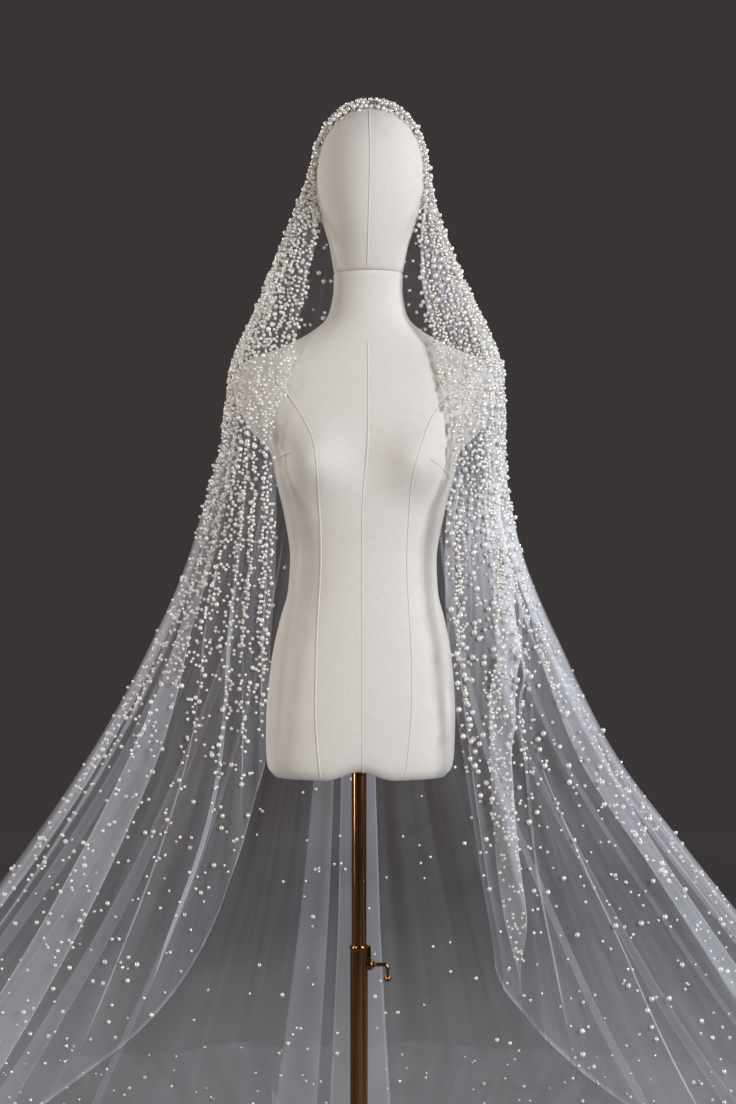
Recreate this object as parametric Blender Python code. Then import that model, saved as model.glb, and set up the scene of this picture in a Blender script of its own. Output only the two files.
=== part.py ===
"""Bridal veil with a round train, worn by a limbless dress form on a pole stand.

Metres, +Z up, the front of the form faces -Y, and the origin is the middle of the stand's underside.
"""
import math

import bmesh
import bpy
import numpy as np
from mathutils import Matrix, Vector
from mathutils.bvhtree import BVHTree

# ---------------------------------------------------------------- driving dimensions
SEAM_GAP = 0.0003              # between pieces that touch
FORM_BOTTOM = 0.7455           # underside of the hip
FORM_LEAN = 0.0173             # how far the form leans to +X for each metre of height
FORM_OFFSET = 0.001            # where the leaning axis meets the underside

HEAD_TOP = 1.7460

TUBE_SIDES = 24
UPPER_TUBE_RADIUS = 0.0112
LOWER_TUBE_RADIUS = 0.0133
LOWER_TUBE_TOP = 0.4905
RIM_HEIGHT = 0.006             # raised rim at the top of the lower tube
RIM_RISE = 0.0009
UPPER_TUBE_OVERLAP = 0.060     # length of the upper tube inside the lower one
SOCKET_DEPTH = 0.080           # length of the upper tube inside the torso
UNDERSIDE_LIFT = 0.0130        # how far the underside rises at the middle, between the hips
GROOVE_HALF = 0.050            # half the width of that groove

BASE_RADIUS = 0.165
BASE_THICK = 0.009
HUB_RADIUS = 0.026
HUB_TOP = 0.052
HUB_FLOOR = 0.007              # thickness left under the lower tube
HUB_FLARE = 0.006              # the hub spreads into the base
BASE_DISH_RADIUS = 0.060       # the base's top rises gently from its rim to here
BASE_DISH_TOP = 0.0125
BASE_SIDES = 36
EDGE_ROUND = 0.001             # broken edges of the turned pieces

CLAMP_HEIGHT = 0.4615
BOSS_RADIUS = 0.0085
BOSS_END = 0.0200              # distance of the boss face from the pole axis
SHANK_RADIUS = 0.0030
CRANK_REACH = 0.0430           # distance of the ball from the pole axis
CRANK_DROP = 0.0205            # from the shank's axis down to the ball
CRANK_BEND = 0.0060
BALL_RADIUS = 0.0056

VEIL_WALL = 0.0015
VEIL_ROWS = 22
VEIL_ROW_CROWDING = 1.55     # how much closer the rows are at the crown than at the hem
FLOOR_HEIGHT = 0.0012          # middle of the wall where the veil lies on the floor
FILLET = 0.035                 # share of the hanging length that rounds into the train
TRAIN_LENGTH = 0.92            # on the floor at the back
TRAIN_POWER = 1.3              # higher keeps the train narrower at the sides
TRAIN_STEP = 2.2               # metres of train for a whole hanging length of steps
TRAIN_FOCUS = -0.60            # the train spreads from this point in front, along Y
RIDGE_ON_FLOOR = 0.014         # height of the folds that run on into the train
LYING_FROM, LYING_TO = 0.93, 1.03   # shares of the hanging length where the folds turn into those ridges
FOLD_MIDDLE = 0.42             # share of a fold's depth that lies inside the plain veil

EDGING_END = 1.520             # height where the packed pearls end on each side
EDGING_INSET = 0.0055          # from the veil's cut edge back to the middle of the pearls
EDGING_STEPS = 60              # places where its path is worked out on each side
EDGING_GAP = 0.0007
EDGING_BRIDGE = 1.7435         # above this height it runs straight over the crown
BEAD_PITCH = 0.0105
BEAD_RADIUS = 0.0056
BEAD_LINK = 0.0038             # radius between two beads
BEAD_SIDES = 8

# The form, from the neck down: half width, how far it reaches forwards and backwards, and squareness.
TORSO_COLUMNS = ("z", "half", "front", "back", "power")
TORSO_SECTIONS = (
    (1.4970, 0.0520, 0.052, 0.058, 2.0),
    (1.4750, 0.0515, 0.050, 0.057, 2.0),
    (1.4480, 0.0570, 0.052, 0.060, 2.0),
    (1.4270, 0.0650, 0.054, 0.064, 2.0),
    (1.4090, 0.0800, 0.056, 0.068, 2.0),
    (1.3935, 0.1030, 0.059, 0.073, 2.0),
    (1.3785, 0.1450, 0.062, 0.077, 1.9),
    (1.3650, 0.1800, 0.066, 0.080, 1.8),
    (1.3500, 0.1960, 0.071, 0.083, 1.8),
    (1.3300, 0.1990, 0.077, 0.086, 1.8),
    (1.3050, 0.1945, 0.084, 0.090, 1.9),
    (1.2650, 0.1730, 0.092, 0.093, 2.1),
    (1.2270, 0.1400, 0.096, 0.092, 2.3),
    (1.1900, 0.1325, 0.097, 0.089, 2.3),
    (1.1400, 0.1200, 0.092, 0.083, 2.3),
    (1.0680, 0.1090, 0.085, 0.077, 2.2),
    (1.0230, 0.1114, 0.085, 0.080, 2.2),
    (0.9765, 0.1230, 0.088, 0.088, 2.2),
    (0.9300, 0.1325, 0.091, 0.097, 2.3),
    (0.8800, 0.1380, 0.094, 0.104, 2.3),
    (0.8300, 0.1408, 0.095, 0.107, 2.4),
    (0.7800, 0.1400, 0.094, 0.105, 2.4),
    (0.7580, 0.1370, 0.091, 0.101, 2.4),
    (0.7455, 0.1270, 0.083, 0.092, 2.4),
)
BUST = {"x": 0.083, "z": 1.212, "rise": 0.034, "wide": 0.047, "high": 0.046, "side_fade": 2.5}
ROUND = 2.0                    # power of a plain oval section
TORSO_SIDES = 36
UNDERSIDE_RINGS = (0.80, 0.52, 0.22)   # rings of the underside, as shares of the hip section

HEAD_COLUMNS = ("z", "half", "front", "back")
HEAD_SECTIONS = (
    (1.4973, 0.0515, 0.055, 0.060),
    (1.5150, 0.0545, 0.064, 0.067),
    (1.5380, 0.0590, 0.075, 0.077),
    (1.5630, 0.0665, 0.084, 0.089),
    (1.5930, 0.0760, 0.091, 0.099),
    (1.6230, 0.0808, 0.094, 0.104),
    (1.6530, 0.0800, 0.092, 0.103),
    (1.6830, 0.0745, 0.083, 0.095),
    (1.7055, 0.0650, 0.070, 0.083),
    (1.7280, 0.0480, 0.049, 0.060),
    (1.7400, 0.0285, 0.028, 0.036),
)
HEAD_SIDES = 32

# The veil, from the crown to the floor: how far the front edge and the outermost fold stand from the
# form's axis on each side, and how far forwards or backwards the edge, the side and the back lie.
LEVEL_COLUMNS = ("z", "left_edge", "left_side", "right_edge", "right_side", "edge_y", "side_y", "back_y")
VEIL_LEVELS = (
    (1.7476, 0.000, 0.0000, 0.000, 0.0000, -0.008, -0.008, -0.008),
    (1.7444, 0.026, 0.0260, 0.026, 0.0260, -0.012, -0.004, 0.0340),
    (1.7330, 0.0495, 0.0495, 0.0495, 0.0495, -0.014, -0.002, 0.0680),
    (1.7120, 0.0675, 0.0680, 0.0675, 0.0680, -0.015, 0.000, 0.0940),
    (1.6850, 0.0785, 0.0795, 0.0785, 0.0790, -0.015, 0.002, 0.1080),
    (1.6500, 0.0830, 0.0880, 0.0830, 0.0860, -0.015, 0.005, 0.1160),
    (1.6130, 0.0830, 0.1010, 0.0830, 0.0930, -0.018, 0.008, 0.1170),
    (1.5800, 0.0820, 0.1150, 0.0830, 0.1040, -0.022, 0.010, 0.1180),
    (1.5420, 0.0840, 0.1290, 0.0860, 0.1180, -0.030, 0.012, 0.1190),
    (1.4960, 0.095, 0.1480, 0.090, 0.1390, -0.040, 0.014, 0.1210),
    (1.4450, 0.100, 0.1660, 0.094, 0.1640, -0.050, 0.014, 0.1250),
    (1.3950, 0.107, 0.1880, 0.100, 0.1880, -0.060, 0.012, 0.1300),
    (1.3500, 0.112, 0.2035, 0.105, 0.2035, -0.067, 0.010, 0.1360),
    (1.3090, 0.124, 0.2075, 0.110, 0.2070, -0.075, 0.014, 0.1440),
    (1.2490, 0.134, 0.2160, 0.124, 0.2090, -0.082, 0.022, 0.1540),
    (1.1950, 0.131, 0.2290, 0.129, 0.2130, -0.086, 0.030, 0.1640),
    (1.1290, 0.128, 0.2480, 0.120, 0.2250, -0.088, 0.040, 0.1760),
    (1.0680, 0.128, 0.2660, 0.119, 0.2420, -0.090, 0.050, 0.1880),
    (0.9300, 0.134, 0.3250, 0.127, 0.3030, -0.090, 0.070, 0.2200),
    (0.7750, 0.138, 0.4080, 0.152, 0.3840, -0.090, 0.090, 0.2680),
    (0.6180, 0.142, 0.5140, 0.176, 0.5020, -0.090, 0.110, 0.3250),
    (0.4590, 0.142, 0.6400, 0.199, 0.6320, -0.090, 0.130, 0.3850),
    (0.2980, 0.142, 0.7860, 0.202, 0.7720, -0.090, 0.150, 0.4450),
    (0.1500, 0.142, 0.9250, 0.202, 0.9200, -0.090, 0.170, 0.4950),
    (0.0000, 0.142, 1.0600, 0.202, 1.0650, -0.090, 0.190, 0.5450),
)

# The hem in front: at each height, the share of the quarter from the edge to the side that is cut away.
HEM_COLUMNS = ("z", "share")
LEFT_HEM = ((0.770, 0.000), (0.690, 0.050), (0.588, 0.088), (0.450, 0.159), (0.378, 0.213),
            (0.305, 0.285), (0.252, 0.335), (0.150, 0.440), (0.000, 0.600))
RIGHT_HEM = ((0.450, 0.000), (0.405, 0.018), (0.368, 0.057), (0.328, 0.100), (0.286, 0.154),
             (0.252, 0.192), (0.150, 0.330), (0.000, 0.560))

# How deep the folds are, from crest to trough, and how far they crowd to the edge and to the side.
DEPTH_COLUMNS = ("z", "depth", "crowd")
FOLD_DEPTHS = ((1.7476, 0.000, 0.00), (1.6100, 0.000, 0.00), (1.5200, 0.004, 0.00), (1.4450, 0.007, 0.00),
               (1.3500, 0.005, 0.00), (1.2500, 0.008, 0.01), (1.0680, 0.016, 0.03), (0.8500, 0.026, 0.07),
               (0.6000, 0.036, 0.10), (0.3500, 0.042, 0.105), (0.0000, 0.044, 0.105))

# The folds, one row each, round the veil in quarters: 0 left edge, 1 left side, 2 back, 3 right side
# and 4 right edge.
FOLD_COLUMNS = ("at", "width", "rise")
FOLDS = (
    (0.070, 0.070, 0.60),
    (0.170, 0.075, 1.00),
    (0.275, 0.080, 0.85),
    (0.385, 0.075, 1.10),
    (0.480, 0.070, 0.70),
    (0.580, 0.090, 1.20),
    (0.690, 0.070, 0.75),
    (0.790, 0.080, 1.00),
    (0.900, 0.075, 0.70),
    (1.030, 0.090, 0.90),
    (1.170, 0.090, 1.15),
    (1.310, 0.085, 0.80),
    (1.440, 0.090, 1.05),
    (1.570, 0.080, 0.75),
    (1.690, 0.085, 1.00),
    (1.800, 0.065, 0.80),
    (1.905, 0.075, 1.45),
    (2.045, 0.080, 1.35),
    (2.150, 0.065, 0.75),
    (2.270, 0.085, 1.05),
    (2.400, 0.080, 0.80),
    (2.530, 0.090, 1.10),
    (2.670, 0.085, 0.85),
    (2.810, 0.090, 1.15),
    (2.950, 0.085, 0.90),
    (3.080, 0.070, 0.70),
    (3.180, 0.075, 1.05),
    (3.290, 0.070, 0.75),
    (3.390, 0.080, 1.10),
    (3.500, 0.085, 1.25),
    (3.600, 0.070, 0.80),
    (3.700, 0.075, 1.00),
    (3.810, 0.085, 1.60),
    (3.925, 0.070, 0.70),
)

COLOURS = {
    "cover": ((0.80, 0.76, 0.70), 0.85, 0.0),
    "brass": ((0.42, 0.27, 0.12), 0.28, 1.0),
    "tulle": ((0.90, 0.90, 0.93), 0.75, 0.0),
    "pearl": ((0.93, 0.90, 0.85), 0.25, 0.0),
}


# ---------------------------------------------------------------- small helpers
def column(table, names, name):
    """One named column of a table, as an array."""
    return np.array([row[names.index(name)] for row in table], dtype=float)


def smooth_curve(x, xs, ys):
    """A curve through the points that never overshoots them (monotone cubic)."""
    xs, ys = np.asarray(xs, float), np.asarray(ys, float)
    if xs[0] > xs[-1]:
        xs, ys = xs[::-1], ys[::-1]
    step = np.diff(xs)
    slope = np.diff(ys) / step
    lean = np.zeros_like(ys)
    product = slope[:-1] * slope[1:]
    ends = np.where(product > 0, slope[:-1] + slope[1:], 1.0)
    lean[1:-1] = np.where(product > 0, 2 * product / ends, 0.0)
    lean[0], lean[-1] = slope[0], slope[-1]
    x = np.clip(np.asarray(x, float), xs[0], xs[-1])
    i = np.clip(np.searchsorted(xs, x) - 1, 0, len(step) - 1)
    s = (x - xs[i]) / step[i]
    return ((1 + 2 * s) * (1 - s) ** 2 * ys[i] + s * (1 - s) ** 2 * step[i] * lean[i]
            + s * s * (3 - 2 * s) * ys[i + 1] + s * s * (s - 1) * step[i] * lean[i + 1])


def axis_x(z):
    """Where the leaning axis of the form and veil is at a height."""
    return FORM_OFFSET + FORM_LEAN * np.maximum(np.asarray(z, float) - FORM_BOTTOM, 0.0)


def material(name):
    colour, roughness, metallic = COLOURS[name]
    made = bpy.data.materials.get(name) or bpy.data.materials.new(name)
    made.use_nodes = True
    shader = made.node_tree.nodes["Principled BSDF"]
    shader.inputs["Base Color"].default_value = (*colour, 1.0)
    shader.inputs["Roughness"].default_value = roughness
    shader.inputs["Metallic"].default_value = metallic
    made.diffuse_color = (*colour, 1.0)
    return made


def add_object(name, points, faces, finish, smooth=True):
    mesh = bpy.data.meshes.new(name)
    mesh.from_pydata([tuple(float(c) for c in p) for p in points], [], faces)
    mesh.materials.append(material(finish))
    made = bpy.data.objects.new(name, mesh)
    bpy.context.scene.collection.objects.link(made)
    face_out(mesh)
    if smooth:
        mesh.shade_smooth()
    return made


def face_out(mesh):
    shape = bmesh.new()
    shape.from_mesh(mesh)
    bmesh.ops.recalc_face_normals(shape, faces=shape.faces)
    shape.to_mesh(mesh)
    shape.free()


def rings_to_solid(rings, first_tip=None, last_tip=None):
    """Points and faces of a closed body from equal rings, each end closed by a tip or a flat cap."""
    count = len(rings[0])
    points = [p for ring in rings for p in ring]
    faces = []
    for r in range(len(rings) - 1):
        for i in range(count):
            j = (i + 1) % count
            faces.append((r * count + i, r * count + j, (r + 1) * count + j, (r + 1) * count + i))
    for start, tip in ((0, first_tip), ((len(rings) - 1) * count, last_tip)):
        if tip is None:
            faces.append(tuple(range(start, start + count)))
            continue
        points.append(tip)
        for i in range(count):
            faces.append((start + i, start + (i + 1) % count, len(points) - 1))
    return points, faces


def turned(name, profile, finish, sides=TUBE_SIDES):
    """A solid turned round Z from (radius, z) points that start and end on the axis."""
    rings = [[(r * math.cos(2 * math.pi * i / sides), r * math.sin(2 * math.pi * i / sides), z)
              for i in range(sides)] for r, z in profile[1:-1]]
    points, faces = rings_to_solid(rings, (0, 0, profile[0][1]), (0, 0, profile[-1][1]))
    return add_object(name, points, faces, finish, smooth=False)


def cylinder_cutter(name, radius, start, end, sides=TUBE_SIDES):
    """A hidden cylinder between two points, for a Boolean."""
    start, end = Vector(start), Vector(end)
    shape = bmesh.new()
    turn = (end - start).to_track_quat("Z", "Y").to_matrix().to_4x4()
    bmesh.ops.create_cone(shape, cap_ends=True, segments=sides, radius1=radius, radius2=radius,
                          depth=(end - start).length, matrix=Matrix.Translation((start + end) / 2) @ turn)
    mesh = bpy.data.meshes.new(name)
    shape.to_mesh(mesh)
    shape.free()
    cutter = bpy.data.objects.new(name, mesh)
    bpy.context.scene.collection.objects.link(cutter)
    cutter.hide_render = True
    cutter.display_type = "WIRE"
    return cutter


def cut(piece, cutter):
    modifier = piece.modifiers.new(cutter.name, "BOOLEAN")
    modifier.operation = "DIFFERENCE"
    modifier.solver = "EXACT"
    modifier.object = cutter


# ---------------------------------------------------------------- the dress form
def section_ring(row, power, sides, bust=False):
    """One level of the form: a rounded oval, deeper in front or behind, with the bust added."""
    ring = []
    for i in range(sides):
        angle = 2 * math.pi * i / sides
        c, s = math.cos(angle), math.sin(angle)
        x = row["half"] * math.copysign(abs(c) ** (2 / power), c)
        y = (row["back"] if s > 0 else row["front"]) * math.copysign(abs(s) ** (2 / power), s)
        if bust and s < 0:
            away = (abs(x) - BUST["x"]) / BUST["wide"]
            up = (row["z"] - BUST["z"]) / BUST["high"]
            y -= BUST["rise"] * math.exp(-away * away - up * up) * min(1.0, -BUST["side_fade"] * s)
        ring.append((float(axis_x(row["z"])) + x, y, row["z"]))
    return ring


def hip_groove(x):
    """How far the underside rises at the middle, between the two hips."""
    return UNDERSIDE_LIFT * math.cos(min(abs(x - FORM_OFFSET) / GROOVE_HALF, 1.0) * math.pi / 2) ** 2


def make_torso():
    rows = [dict(zip(TORSO_COLUMNS, row)) for row in TORSO_SECTIONS]
    rings = [section_ring(row, row["power"], TORSO_SIDES, bust=True) for row in rows]
    hip = rows[-1]
    for share in UNDERSIDE_RINGS:
        inner = dict(hip, half=hip["half"] * share, front=hip["front"] * share, back=hip["back"] * share)
        rings.append(section_ring(inner, ROUND, TORSO_SIDES))
    for ring in rings[len(rows) - 3:]:
        fade = (rows[-4]["z"] - ring[0][2]) / (rows[-4]["z"] - hip["z"])
        ring[:] = [(x, y, z + fade * hip_groove(x)) for x, y, z in ring]
    socket_top = hip["z"] + UNDERSIDE_LIFT
    points, faces = rings_to_solid(rings, None, (FORM_OFFSET, 0, socket_top))
    torso = add_object("form_torso", points, faces, "cover")
    cut(torso, cylinder_cutter("socket_cutter", UPPER_TUBE_RADIUS + SEAM_GAP, (0, 0, hip["z"] - 0.02),
                               (0, 0, socket_top + SOCKET_DEPTH + SEAM_GAP)))
    return torso


def make_head():
    rows = [dict(zip(HEAD_COLUMNS, row)) for row in HEAD_SECTIONS]
    rings = [section_ring(row, ROUND, HEAD_SIDES) for row in rows]
    points, faces = rings_to_solid(rings, None, (float(axis_x(HEAD_TOP)), 0.003, HEAD_TOP))
    return add_object("form_head", points, faces, "cover")


# ---------------------------------------------------------------- the stand
def make_stand():
    upper_bottom = LOWER_TUBE_TOP - UPPER_TUBE_OVERLAP
    upper_top = FORM_BOTTOM + UNDERSIDE_LIFT + SOCKET_DEPTH
    turned("stand_upper_tube", (
        (0, upper_bottom),
        (UPPER_TUBE_RADIUS, upper_bottom),
        (UPPER_TUBE_RADIUS, upper_top),
        (0, upper_top),
    ), "brass")
    bore = UPPER_TUBE_RADIUS + SEAM_GAP
    rim = LOWER_TUBE_RADIUS + RIM_RISE
    foot = HUB_FLOOR + SEAM_GAP
    turned("stand_lower_tube", (
        (0, foot),
        (LOWER_TUBE_RADIUS, foot),
        (LOWER_TUBE_RADIUS, LOWER_TUBE_TOP - RIM_HEIGHT),
        (rim, LOWER_TUBE_TOP - RIM_HEIGHT + EDGE_ROUND),
        (rim, LOWER_TUBE_TOP - EDGE_ROUND),
        (rim - EDGE_ROUND, LOWER_TUBE_TOP),
        (bore, LOWER_TUBE_TOP),
        (bore, upper_bottom - SEAM_GAP),
        (0, upper_bottom - SEAM_GAP),
    ), "brass")
    socket = LOWER_TUBE_RADIUS + SEAM_GAP
    turned("stand_base", (
        (0, 0),
        (BASE_RADIUS - 2 * EDGE_ROUND, 0),
        (BASE_RADIUS, 2 * EDGE_ROUND),
        (BASE_RADIUS, BASE_THICK - 2 * EDGE_ROUND),
        (BASE_RADIUS - 3 * EDGE_ROUND, BASE_THICK),
        (BASE_DISH_RADIUS, BASE_DISH_TOP),
        (HUB_RADIUS + HUB_FLARE, BASE_DISH_TOP + 0.6 * HUB_FLARE),
        (HUB_RADIUS, BASE_DISH_TOP + 1.4 * HUB_FLARE),
        (HUB_RADIUS, HUB_TOP - 3 * EDGE_ROUND),
        (HUB_RADIUS - 3 * EDGE_ROUND, HUB_TOP),
        (socket, HUB_TOP),
        (socket, HUB_FLOOR),
        (0, HUB_FLOOR),
    ), "brass", sides=BASE_SIDES)


def make_clamp():
    """The boss on the lower tube, and the cranked screw that turns in it round X."""
    boss = cylinder_cutter("clamp_boss", BOSS_RADIUS, (0.004, 0, CLAMP_HEIGHT), (BOSS_END, 0, CLAMP_HEIGHT))
    boss.hide_render = False
    boss.display_type = "TEXTURED"
    boss.data.materials.append(material("brass"))
    cut(boss, cylinder_cutter("tube_cutter", LOWER_TUBE_RADIUS + SEAM_GAP, (0, 0, CLAMP_HEIGHT - 0.03),
                              (0, 0, CLAMP_HEIGHT + 0.03)))
    cut(boss, cylinder_cutter("screw_cutter", SHANK_RADIUS + SEAM_GAP, (0, 0, CLAMP_HEIGHT),
                              (BOSS_END + 0.01, 0, CLAMP_HEIGHT), sides=12))
    pivot = bpy.data.objects.new("clamp_axis", None)
    bpy.context.scene.collection.objects.link(pivot)
    pivot.location = (0, 0, CLAMP_HEIGHT)
    handle = make_handle()
    handle.parent = pivot


def make_handle():
    """Shank, collar, bend and ball in one sweep, in its own frame with the turning axis along X."""
    elbow = CRANK_REACH - CRANK_BEND
    stations = [(LOWER_TUBE_RADIUS + SEAM_GAP, 0, SHANK_RADIUS, 0), (BOSS_END + SEAM_GAP, 0, SHANK_RADIUS, 0),
                (BOSS_END + SEAM_GAP + 0.0001, 0, 0.0060, 0), (BOSS_END + 0.0028, 0, 0.0060, 0),
                (BOSS_END + 0.0032, 0, SHANK_RADIUS, 0)]
    for step in range(5):
        turn = math.radians(90) * step / 4
        stations.append((elbow + CRANK_BEND * math.sin(turn), -CRANK_BEND * (1 - math.cos(turn)),
                         SHANK_RADIUS, turn))
    neck = math.asin(0.6 * SHANK_RADIUS / BALL_RADIUS)
    for step in range(6):
        swing = neck + (math.pi - neck) * step / 6
        stations.append((CRANK_REACH, -CRANK_DROP + BALL_RADIUS * math.cos(swing),
                         BALL_RADIUS * math.sin(swing), math.radians(90)))
    sides = 12
    rings = []
    for x, z, radius, turn in stations:
        across = (math.sin(turn), math.cos(turn))
        rings.append([(x + radius * math.cos(2 * math.pi * i / sides) * across[0],
                       radius * math.sin(2 * math.pi * i / sides),
                       z + radius * math.cos(2 * math.pi * i / sides) * across[1]) for i in range(sides)])
    points, faces = rings_to_solid(rings, None, (CRANK_REACH, 0, -CRANK_DROP - BALL_RADIUS))
    return add_object("clamp_handle", points, faces, "brass")


# ---------------------------------------------------------------- the veil
LEVEL = {name: column(VEIL_LEVELS, LEVEL_COLUMNS, name) for name in LEVEL_COLUMNS}
DEPTH = {name: column(FOLD_DEPTHS, DEPTH_COLUMNS, name) for name in DEPTH_COLUMNS}
RUN = np.concatenate(([0.0], np.cumsum(np.hypot(np.diff(LEVEL["left_side"]), np.diff(LEVEL["z"])))))
RUN = RUN / RUN[-1]            # share of the way down the left side, for each level


def level_value(name, down):
    return smooth_curve(np.minimum(down, 1.0), RUN, LEVEL[name])


def crowded(q, z):
    """Moves a place between the edge (0) and the side (1) towards both, more so lower down."""
    crowd = smooth_curve(z, DEPTH["z"], DEPTH["crowd"])
    return q - crowd * np.sin(2 * math.pi * (q + 0.35 * q * (1 - q)))


def veil_section(at, down):
    """A point of the plain veil without folds; at is in quarters round, down is 1 where the floor begins."""
    z = level_value("z", down)
    left = at <= 2.0
    edge = np.where(left, -level_value("left_edge", down), level_value("right_edge", down))
    side = np.where(left, -level_value("left_side", down), level_value("right_side", down))
    edge_y, side_y, back_y = (level_value(name, down) for name in ("edge_y", "side_y", "back_y"))
    q = np.where(left, at, 4.0 - at)
    front = np.clip(crowded(np.minimum(q, 1.0), z), 0.0, 1.0) * math.pi / 2
    rear = np.clip(q - 1.0, 0.0, 1.0) * math.pi / 2
    x = np.where(q <= 1.0, edge + (side - edge) * np.sin(front), side * np.cos(rear))
    y = np.where(q <= 1.0, side_y + (edge_y - side_y) * np.cos(front),
                 side_y + (back_y - side_y) * np.sin(rear))
    return np.stack((x + axis_x(z), y, z + FLOOR_HEIGHT * np.minimum(down, 1.0)), axis=-1)


def veil_base(at, down):
    """The plain veil, rounded into the train where it meets the floor."""
    at, down = np.broadcast_arrays(np.asarray(at, float), np.asarray(down, float))

    def on_floor(run):
        foot = veil_section(at, np.ones_like(down))
        away = foot - np.array((0.0, TRAIN_FOCUS, foot[..., 2].flat[0]))
        away[..., 2] = 0.0
        away /= np.linalg.norm(away, axis=-1, keepdims=True)
        return foot + away * run[..., None]

    hanging = veil_section(at, down)
    lying = on_floor(np.maximum(down - 1.0, 0.0) * TRAIN_STEP)
    start = veil_section(at, np.full_like(down, 1 - FILLET))
    corner = on_floor(np.zeros_like(down))
    end = on_floor(np.full_like(down, FILLET * TRAIN_STEP))
    s = np.clip((down - 1 + FILLET) / (2 * FILLET), 0.0, 1.0)[..., None]
    bend = (1 - s) ** 2 * start + 2 * s * (1 - s) * corner + s * s * end
    point = np.where(down[..., None] < 1 - FILLET, hanging, bend)
    return np.where(down[..., None] > 1 + FILLET, lying, point)


def fold_shape(at):
    """Height of the folds round the veil: 0 in the troughs, about 1 on the crests."""
    height = np.zeros_like(np.asarray(at, float))
    for row in FOLDS:
        fold = dict(zip(FOLD_COLUMNS, row))
        away = np.abs(at - fold["at"]) / (fold["width"] / 2)
        height += fold["rise"] * np.where(away < 1, 0.5 + 0.5 * np.cos(math.pi * np.minimum(away, 1.0)), 0.0)
    return height


def veil_surface(at, down):
    """The middle of the veil's wall with its folds, and the way it faces."""
    at, down = np.broadcast_arrays(np.asarray(at, float), np.asarray(down, float))
    step = 1e-4
    point = veil_base(at, down)
    along = veil_base(np.minimum(at + step, 4.0), down) - veil_base(np.maximum(at - step, 0.0), down)
    steep = veil_base(at, np.maximum(down - step, 0.0)) - veil_base(at, down + step)
    normal = np.cross(steep, along)
    length = np.linalg.norm(normal, axis=-1, keepdims=True)
    normal = np.where(length > 1e-12, normal / np.maximum(length, 1e-12), np.array((0.0, 0.0, 1.0)))
    z = level_value("z", down)
    depth = smooth_curve(z, DEPTH["z"], DEPTH["depth"])
    lying = np.clip((down - LYING_FROM) / (LYING_TO - LYING_FROM), 0.0, 1.0)
    depth = depth * (1 - lying) + RIDGE_ON_FLOOR * lying
    middle = FOLD_MIDDLE * (1 - lying)
    point = point + normal * (depth * (fold_shape(at) - middle))[..., None]
    point[..., 2] = np.maximum(point[..., 2], FLOOR_HEIGHT)
    return point


def hem_end(at):
    """How far down the veil reaches at a place round it."""
    left = at <= 2.0
    q = at if left else 4.0 - at
    table = LEFT_HEM if left else RIGHT_HEM
    heights, shares = column(table, HEM_COLUMNS, "z"), column(table, HEM_COLUMNS, "share")

    def beyond(place, down):
        z = float(level_value("z", down))
        place_share = float(crowded(min(place, 1.0), z)) if place <= 1.0 else 1.0
        return z < heights[0] and float(smooth_curve(z, heights, shares)) >= place_share

    if beyond(q, 1.0):
        low, high = 0.0, 1.0
        for _ in range(40):
            middle = (low + high) / 2
            low, high = (low, middle) if beyond(q, middle) else (middle, high)
        return high
    low, high = 0.0, 1.0
    for _ in range(40):
        middle = (low + high) / 2
        low, high = (middle, high) if beyond(middle, 1.0) else (low, middle)
    share = (q - low) / (2.0 - low)
    return 1.0 + TRAIN_LENGTH * (0.5 - 0.5 * math.cos(math.pi * share)) ** TRAIN_POWER / TRAIN_STEP


def veil_columns():
    places = {0.0, 4.0}
    for row in FOLDS:
        fold = dict(zip(FOLD_COLUMNS, row))
        places.update(fold["at"] + side * fold["width"] / 2 for side in (-1, 0, 1))
    return np.array(sorted(round(place, 4) for place in places))


def wall_solid(middle, wall, pole=True):
    """A closed wall from a grid of middle points (rows, columns, 3); row 0 is one point when pole is set."""
    rows, columns = middle.shape[:2]
    down = np.gradient(middle, axis=0)
    across = np.gradient(middle, axis=1)
    normal = np.cross(across, down)
    if pole:
        normal[0] = normal[1].mean(axis=0)
    normal /= np.linalg.norm(normal, axis=-1, keepdims=True)
    outer = middle - normal * wall / 2
    inner = middle + normal * wall / 2
    points, index = [], {}
    for layer, grid in enumerate((outer, inner)):
        for r in range(rows):
            for c in range(columns):
                if pole and r == 0 and c > 0:
                    index[layer, r, c] = index[layer, 0, 0]
                    continue
                index[layer, r, c] = len(points)
                points.append(grid[r, c])
    faces = []

    def quad(*keys):
        corners = []
        for key in keys:
            if index[key] not in corners:
                corners.append(index[key])
        if len(corners) >= 3:
            faces.append(tuple(corners))

    for r in range(rows - 1):
        for c in range(columns - 1):
            quad((0, r, c), (0, r, c + 1), (0, r + 1, c + 1), (0, r + 1, c))
            quad((1, r, c), (1, r + 1, c), (1, r + 1, c + 1), (1, r, c + 1))
    for c in range(columns - 1):
        quad((0, rows - 1, c), (0, rows - 1, c + 1), (1, rows - 1, c + 1), (1, rows - 1, c))
        if not pole:
            quad((0, 0, c + 1), (0, 0, c), (1, 0, c), (1, 0, c + 1))
    for r in range(rows - 1):
        quad((0, r, 0), (0, r + 1, 0), (1, r + 1, 0), (1, r, 0))
        quad((0, r + 1, columns - 1), (0, r, columns - 1), (1, r, columns - 1), (1, r + 1, columns - 1))
    return points, faces


def make_veil():
    at = veil_columns()
    ends = np.array([hem_end(place) for place in at])
    rows = (np.arange(VEIL_ROWS + 1) / VEIL_ROWS) ** VEIL_ROW_CROWDING
    middle = veil_surface(at[None, :], rows[:, None] * ends[None, :])
    points, faces = wall_solid(middle, VEIL_WALL)
    return add_object("veil", points, faces, "tulle")


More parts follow.
